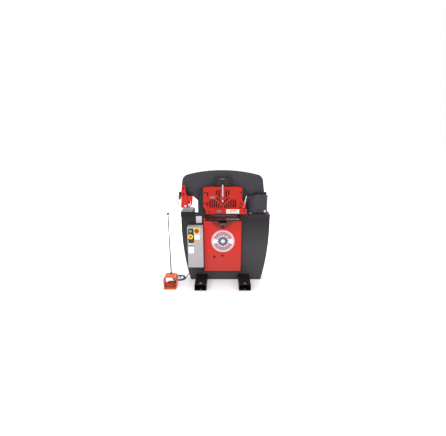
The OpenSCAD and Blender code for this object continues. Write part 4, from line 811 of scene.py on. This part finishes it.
# Bare round labels on the two end guards, and the bare plate on the guide key
ROUND_LABEL = [(0, 0.0155), (0.0005, 0.0155), (0.0008, 0.0150)]
for name, body, x, y, z in (("bare_round_punch", "punch_guard", -0.465, -0.200, 1.041),
                            ("bare_round_notcher", "frame", 0.527, -0.213, 0.978)):
    bm = bmesh.new()
    turned(bm, (x, y - GAP, z), FRONT, ROUND_LABEL, 48)
    piece(name, bm, body, rose_film)
KEY_HALF, KEY_DROP_LOW, KEY_DROP_HIGH, KEY_T = 0.025, 0.013, 0.005, 0.0008
key_low, key_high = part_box("guide_key")
bm = bmesh.new()
face_plate(bm, -KEY_HALF, KEY_HALF, key_high[2] - KEY_DROP_LOW, key_high[2] - KEY_DROP_HIGH,
           key_low[1] - GAP, KEY_T)
piece("bare_key_plate", bm, "beam", dim_plate)

# Bar welded behind the shroud's opening, so that it shows as two slots
SHROUD_BAR, SHROUD_BAR_Y, SHROUD_BAR_T = (-0.4158, -0.4096, 1.044, 1.1115), -0.1918, 0.0020
bm = bmesh.new()
face_plate(bm, *SHROUD_BAR, SHROUD_BAR_Y, SHROUD_BAR_T, r=0.001)
piece("shroud_bar", bm, "guard_shroud", guard_red)

# Fasteners: where they are, then a cap's radius or the width across flats, and the height
GUARD_CAPS, GUARD_CAP = grid((-0.222, 0.222), (1.216, 1.078)), (0.0095, 0.0055)
GAUGE_BOLTS, GAUGE_BOLT = ((-0.188, 1.204), (-0.188, 1.078)), (0.015, 0.006)
SIDE_BOLTS, SIDE_BOLT = ((0.218, 1.031), (0.280, 1.022)), (0.012, 0.005)
BEAM_BOLTS = ((-0.447, 1.207), (-0.403, 1.187), (0.421, 1.195), (0.488, 1.189))
BEAM_BOLT = (0.025, 0.011)
GUIDE_CAPS, GUIDE_CAP = grid((-0.080, 0.080), (1.315, 1.365)), (0.009, 0.006)
bm = bmesh.new()
for x, z in GUARD_CAPS:
    socket_head(bm, (x, GUARD_Y - 2 * GAP, z), FRONT, *GUARD_CAP)
guard_heads = piece("guard_cap_screws", bm, "frame", black_steel)
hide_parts("guard_bolts")
bm = bmesh.new()
for places, size in ((GAUGE_BOLTS, GAUGE_BOLT), (SIDE_BOLTS, SIDE_BOLT)):
    for x, z in places:
        hex_head(bm, (x, GUARD_Y - GAP, z), FRONT, *size)
piece("gauge_bolts", bm, "frame", black_steel)
bm = bmesh.new()
for x, z in BEAM_BOLTS:
    hex_head(bm, (x, BEAM_Y, z), FRONT, *BEAM_BOLT)
piece("beam_bolts", bm, "beam", charcoal_dark)
bm = bmesh.new()
for x, z in GUIDE_CAPS:
    socket_head(bm, (x, GUIDE_Y, z), FRONT, *GUIDE_CAP)
piece("guide_screws", bm, "frame", black_steel)

# Black rubber plugs in the door's two holes, each with a flange on the door's face
PLUG = [(-0.0030, 0.0120), (-0.0001, 0.0120), (0.0, 0.0152), (0.0012, 0.0152), (0.0019, 0.0142),
        (0.0019, 0.0100), (0.0008, 0.0088)]
bm = bmesh.new()
for x, z in ((-0.109, 0.361), (-0.002, 0.376)):
    turned(bm, (x, DOOR_Y - 2 * GAP, z), FRONT, PLUG, 36)
piece("door_plugs", bm, "frame", ball_plastic)

# Louvres and screws of the rear cover; a louvre's section is its gap, share of bulge and height
LOUVRE_COUNT, LOUVRE_STEPS = 8, 8
LOUVRE_HALF, LOUVRE_PITCH, LOUVRE_FIRST, LOUVRE_H, LOUVRE_OUT = 0.072, 0.030, 0.320, 0.012, 0.008
LOUVRE_SECTION = [(0.0, 0.0, LOUVRE_H + 0.006), (0.0, 0.4, LOUVRE_H + 0.004),
                  (0.0003, 1.0, 0.003), (0.0003, 0.8, 0.002),
                  (0.0002, 0.3, LOUVRE_H + 0.002), (0.0, 0.0, LOUVRE_H + 0.003)]
COVER_SCREW, COVER_MARGIN = [(0, 0.008), (0.0015, 0.008), (0.0035, 0.0062), (0.0042, 0.003)], 0.04
cover_low, cover_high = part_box("rear_cover")
bm = bmesh.new()
for x in (-0.150, 0.150):
    for i in range(LOUVRE_COUNT):
        z0 = cover_high[2] - LOUVRE_FIRST + LOUVRE_PITCH * i
        rings = []
        for k in range(LOUVRE_STEPS + 1):
            t = k / LOUVRE_STEPS
            bulge = LOUVRE_OUT * min(1.0, 4 * t, 4 * (1 - t)) ** 0.5
            px = x + LOUVRE_HALF * (2 * t - 1)
            rings.append([(px, cover_high[1] + gap + share * bulge, z0 + z)
                          for gap, share, z in LOUVRE_SECTION])
        loft(bm, rings)
piece("cover_louvres", bm, "frame", charcoal)
bm = bmesh.new()
for x, z in grid((-0.265, 0.265), (cover_low[2] + COVER_MARGIN, (cover_low[2] + cover_high[2]) / 2,
                                   cover_high[2] - COVER_MARGIN)):
    turned(bm, (x, cover_high[1], z), BACK, COVER_SCREW, 24)
piece("cover_screws", bm, "frame", black_steel)

# Tray for cut-off ends on the rear cover: folded sheet with low sides and a lip at its back
TRAY_X, TRAY_FRONT, TRAY_BACK, TRAY_SIDE, TRAY_T = 0.225, -0.034, 0.286, 0.022, 0.002
TRAY_LIP, TRAY_CORNER, TRAY_GAP = 0.040, 0.012, 0.0003
tray_z = cover_high[2] + TRAY_GAP
tray_in = TRAY_X - TRAY_T
lip_x, lip_z = TRAY_X - TRAY_CORNER, TRAY_LIP - TRAY_CORNER
channel = [(-TRAY_X, TRAY_SIDE), (-TRAY_X, 0.0), (TRAY_X, 0.0), (TRAY_X, TRAY_SIDE),
           (tray_in, TRAY_SIDE), (tray_in, TRAY_T), (-tray_in, TRAY_T), (-tray_in, TRAY_SIDE)]
lip = [(-TRAY_X, 0.0), (TRAY_X, 0.0), (TRAY_X, lip_z), (lip_x, TRAY_LIP), (-lip_x, TRAY_LIP),
       (-TRAY_X, lip_z)]
bm = bmesh.new()
for outline, ends in ((channel, (TRAY_FRONT, TRAY_BACK - TRAY_T - TRAY_GAP)),
                      (lip, (TRAY_BACK - TRAY_T, TRAY_BACK))):
    loft(bm, [[(x, y, tray_z + z) for x, z in outline] for y in ends])
piece("offcut_tray", bm, "frame", charcoal_dark, shading="flat")

# Finger guard over the flat shear's rear opening; bars pass below its folded edge
STRIP_X, STRIP_LOW, STRIP_HIGH, STRIP_FOLD, STRIP_T = 0.230, 0.947, 1.022, 0.018, 0.002
STRIP_BOLT_X, STRIP_BOLT_DROP, STRIP_BOLT = 0.215, 0.014, (0.013, 0.005)
rear_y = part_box("rear_plate")[1][1] + 2 * GAP
fold = [(0.0, STRIP_HIGH), (0.0, STRIP_LOW + STRIP_T), (STRIP_FOLD, STRIP_LOW + 0.007),
        (STRIP_FOLD, STRIP_LOW + 0.005), (STRIP_T, STRIP_LOW), (STRIP_T, STRIP_HIGH)]
bm = bmesh.new()
loft(bm, [[(x, rear_y + y, z) for y, z in fold] for x in (-STRIP_X, STRIP_X)])
for x in (-STRIP_BOLT_X, STRIP_BOLT_X):
    hex_head(bm, (x, rear_y + STRIP_T, STRIP_HIGH - STRIP_BOLT_DROP), BACK, *STRIP_BOLT)
piece("rear_finger_guard", bm, "frame", charcoal_dark, shading="flat")

# Foot of the notcher guard, bolted to the front plate beside the table
FOOT_BOX, FOOT_T = (0.294, 0.3272, 0.924, 0.957), 0.003
FOOT_BOLT_X, FOOT_BOLT_Z, FOOT_BOLT = 0.303, 0.939, (0.010, 0.004)
foot_y = FRONT_Y - 2 * GAP
bm = bmesh.new()
face_plate(bm, *FOOT_BOX, foot_y, FOOT_T, r=0.004)
hex_head(bm, (FOOT_BOLT_X, foot_y - FOOT_T, FOOT_BOLT_Z), FRONT, *FOOT_BOLT)
piece("notcher_guard_foot", bm, "frame", notcher_paint)

# Ribs cast on the treadle, in its own slope
TREADLE_AT, TREADLE_SLOPE, TREADLE_TOP = Vector((-0.671, -0.372, 0.028)), math.radians(9), 0.008
TREADLE_HALF, TREADLE_REAR, TREADLE_L = 0.052, 0.040, 0.096
RIB_COUNT, RIB_FIRST, RIB_PITCH, RIB_MARGIN = 7, 0.016, 0.011, 0.006
RIB_RUN, RIB_END, RIB_SINK = 0.003, 0.3, 0.0002
RIB_SECTION = ((-0.0025, 0), (-0.0018, 0.0016), (0, 0.0021), (0.0018, 0.0016), (0.0025, 0))
tilt = Matrix.Translation(TREADLE_AT) @ Matrix.Rotation(TREADLE_SLOPE, 4, "X")
bm = bmesh.new()
for k in range(RIB_COUNT):
    y = RIB_FIRST + RIB_PITCH * k
    half = TREADLE_HALF + (TREADLE_REAR - TREADLE_HALF) * y / TREADLE_L - RIB_MARGIN
    rings = []
    for x, size in ((-half, RIB_END), (RIB_RUN - half, 1.0), (half - RIB_RUN, 1.0),
                    (half, RIB_END)):
        rings.append([tilt @ Vector((x, y + dy * size, TREADLE_TOP + dz * size - RIB_SINK))
                      for dy, dz in RIB_SECTION])
    loft(bm, rings)
piece("treadle_ribs", bm, "treadle", shaded_treadle)


# Floor and light

FLOOR_CORNERS = [(-30, -20, 0), (30, -20, 0), (30, 40, 0), (-30, 40, 0)]
FLOOR_COLOUR, GLOW_COLOUR = (0.78, 0.78, 0.82, 1), (0.985, 0.98, 1.0, 1.0)
GLOW_NEAR, GLOW_FAR, GLOW_LOW, GLOW_HIGH = 0.75, 1.9, 0.235, 1.0
WORLD_LIGHT, WORLD_SEEN = 0.45, 1.0
LIGHTS = [
    ("key", (-2.6, -3.6, 3.6), (0, 0, 0.8), 2.6, 130),
    ("fill", (3.0, -3.0, 2.2), (0, 0, 0.7), 2.8, 70),
    ("top", (0.2, 0.2, 4.4), (0, 0, 0.5), 3.0, 110),
    ("rear", (0.8, 3.8, 2.8), (0, 0, 0.8), 2.6, 70),
]


def seen(nt):
    """1 for rays of the camera, of reflections and through clear sheet; 0 for rays of light."""
    rays = node(nt, "ShaderNodeLightPath").outputs
    value = rays["Is Camera Ray"]
    for kind in ("Is Glossy Ray", "Is Transmission Ray"):
        either = node(nt, "ShaderNodeMath", operation="MAXIMUM")
        nt.links.new(value, either.inputs[0])
        nt.links.new(rays[kind], either.inputs[1])
        value = either.outputs[0]
    return value


def area_light(name, place, target, size, power):
    """A square soft box aimed at a point."""
    data = bpy.data.lights.new(name, "AREA")
    data.shape = "SQUARE"
    data.size = size
    data.energy = power
    lamp = bpy.data.objects.new(name, data)
    lamp.location = place
    aim = Vector(target) - Vector(place)
    lamp.rotation_euler = aim.to_track_quat("-Z", "Y").to_euler()
    scene.collection.objects.link(lamp)


# The floor glows where it is seen, more so farther out, so that it meets the white world unseen
floor_mesh = bpy.data.meshes.new("floor")
floor_mesh.from_pydata(FLOOR_CORNERS, [], [(0, 1, 2, 3)])
floor = bpy.data.objects.new("floor", floor_mesh)
scene.collection.objects.link(floor)
floor_mat, nt, sh = tree("pale_floor")
sh.inputs["Base Color"].default_value = FLOOR_COLOUR
sh.inputs["Roughness"].default_value = 0.75
sh.inputs["Specular IOR Level"].default_value = 0.1
away = node(nt, "ShaderNodeVectorMath", operation="LENGTH")
nt.links.new(object_point(nt), away.inputs[0])
glow = remap(nt, away.outputs["Value"], GLOW_NEAR, GLOW_FAR, GLOW_LOW, GLOW_HIGH)
shine = node(nt, "ShaderNodeEmission", in_Color=GLOW_COLOUR)
nt.links.new(times(nt, glow, seen(nt)), shine.inputs["Strength"])
add = node(nt, "ShaderNodeAddShader")
nt.links.new(sh.outputs[0], add.inputs[0])
nt.links.new(shine.outputs[0], add.inputs[1])
nt.links.new(add.outputs[0], nt.nodes["Material Output"].inputs[0])
floor_mesh.materials.append(floor_mat)

# The world is white where it is seen and dimmer as a light
world = bpy.data.worlds.new("world")
scene.world = world
world.use_nodes = True
nt = world.node_tree
bg = nt.nodes["Background"]
bg.inputs["Color"].default_value = (1, 1, 1, 1)
nt.links.new(remap(nt, seen(nt), 0.0, 1.0, WORLD_LIGHT, WORLD_SEEN), bg.inputs["Strength"])

for light in LIGHTS:
    area_light(*light)

scene.view_settings.view_transform = "Standard"
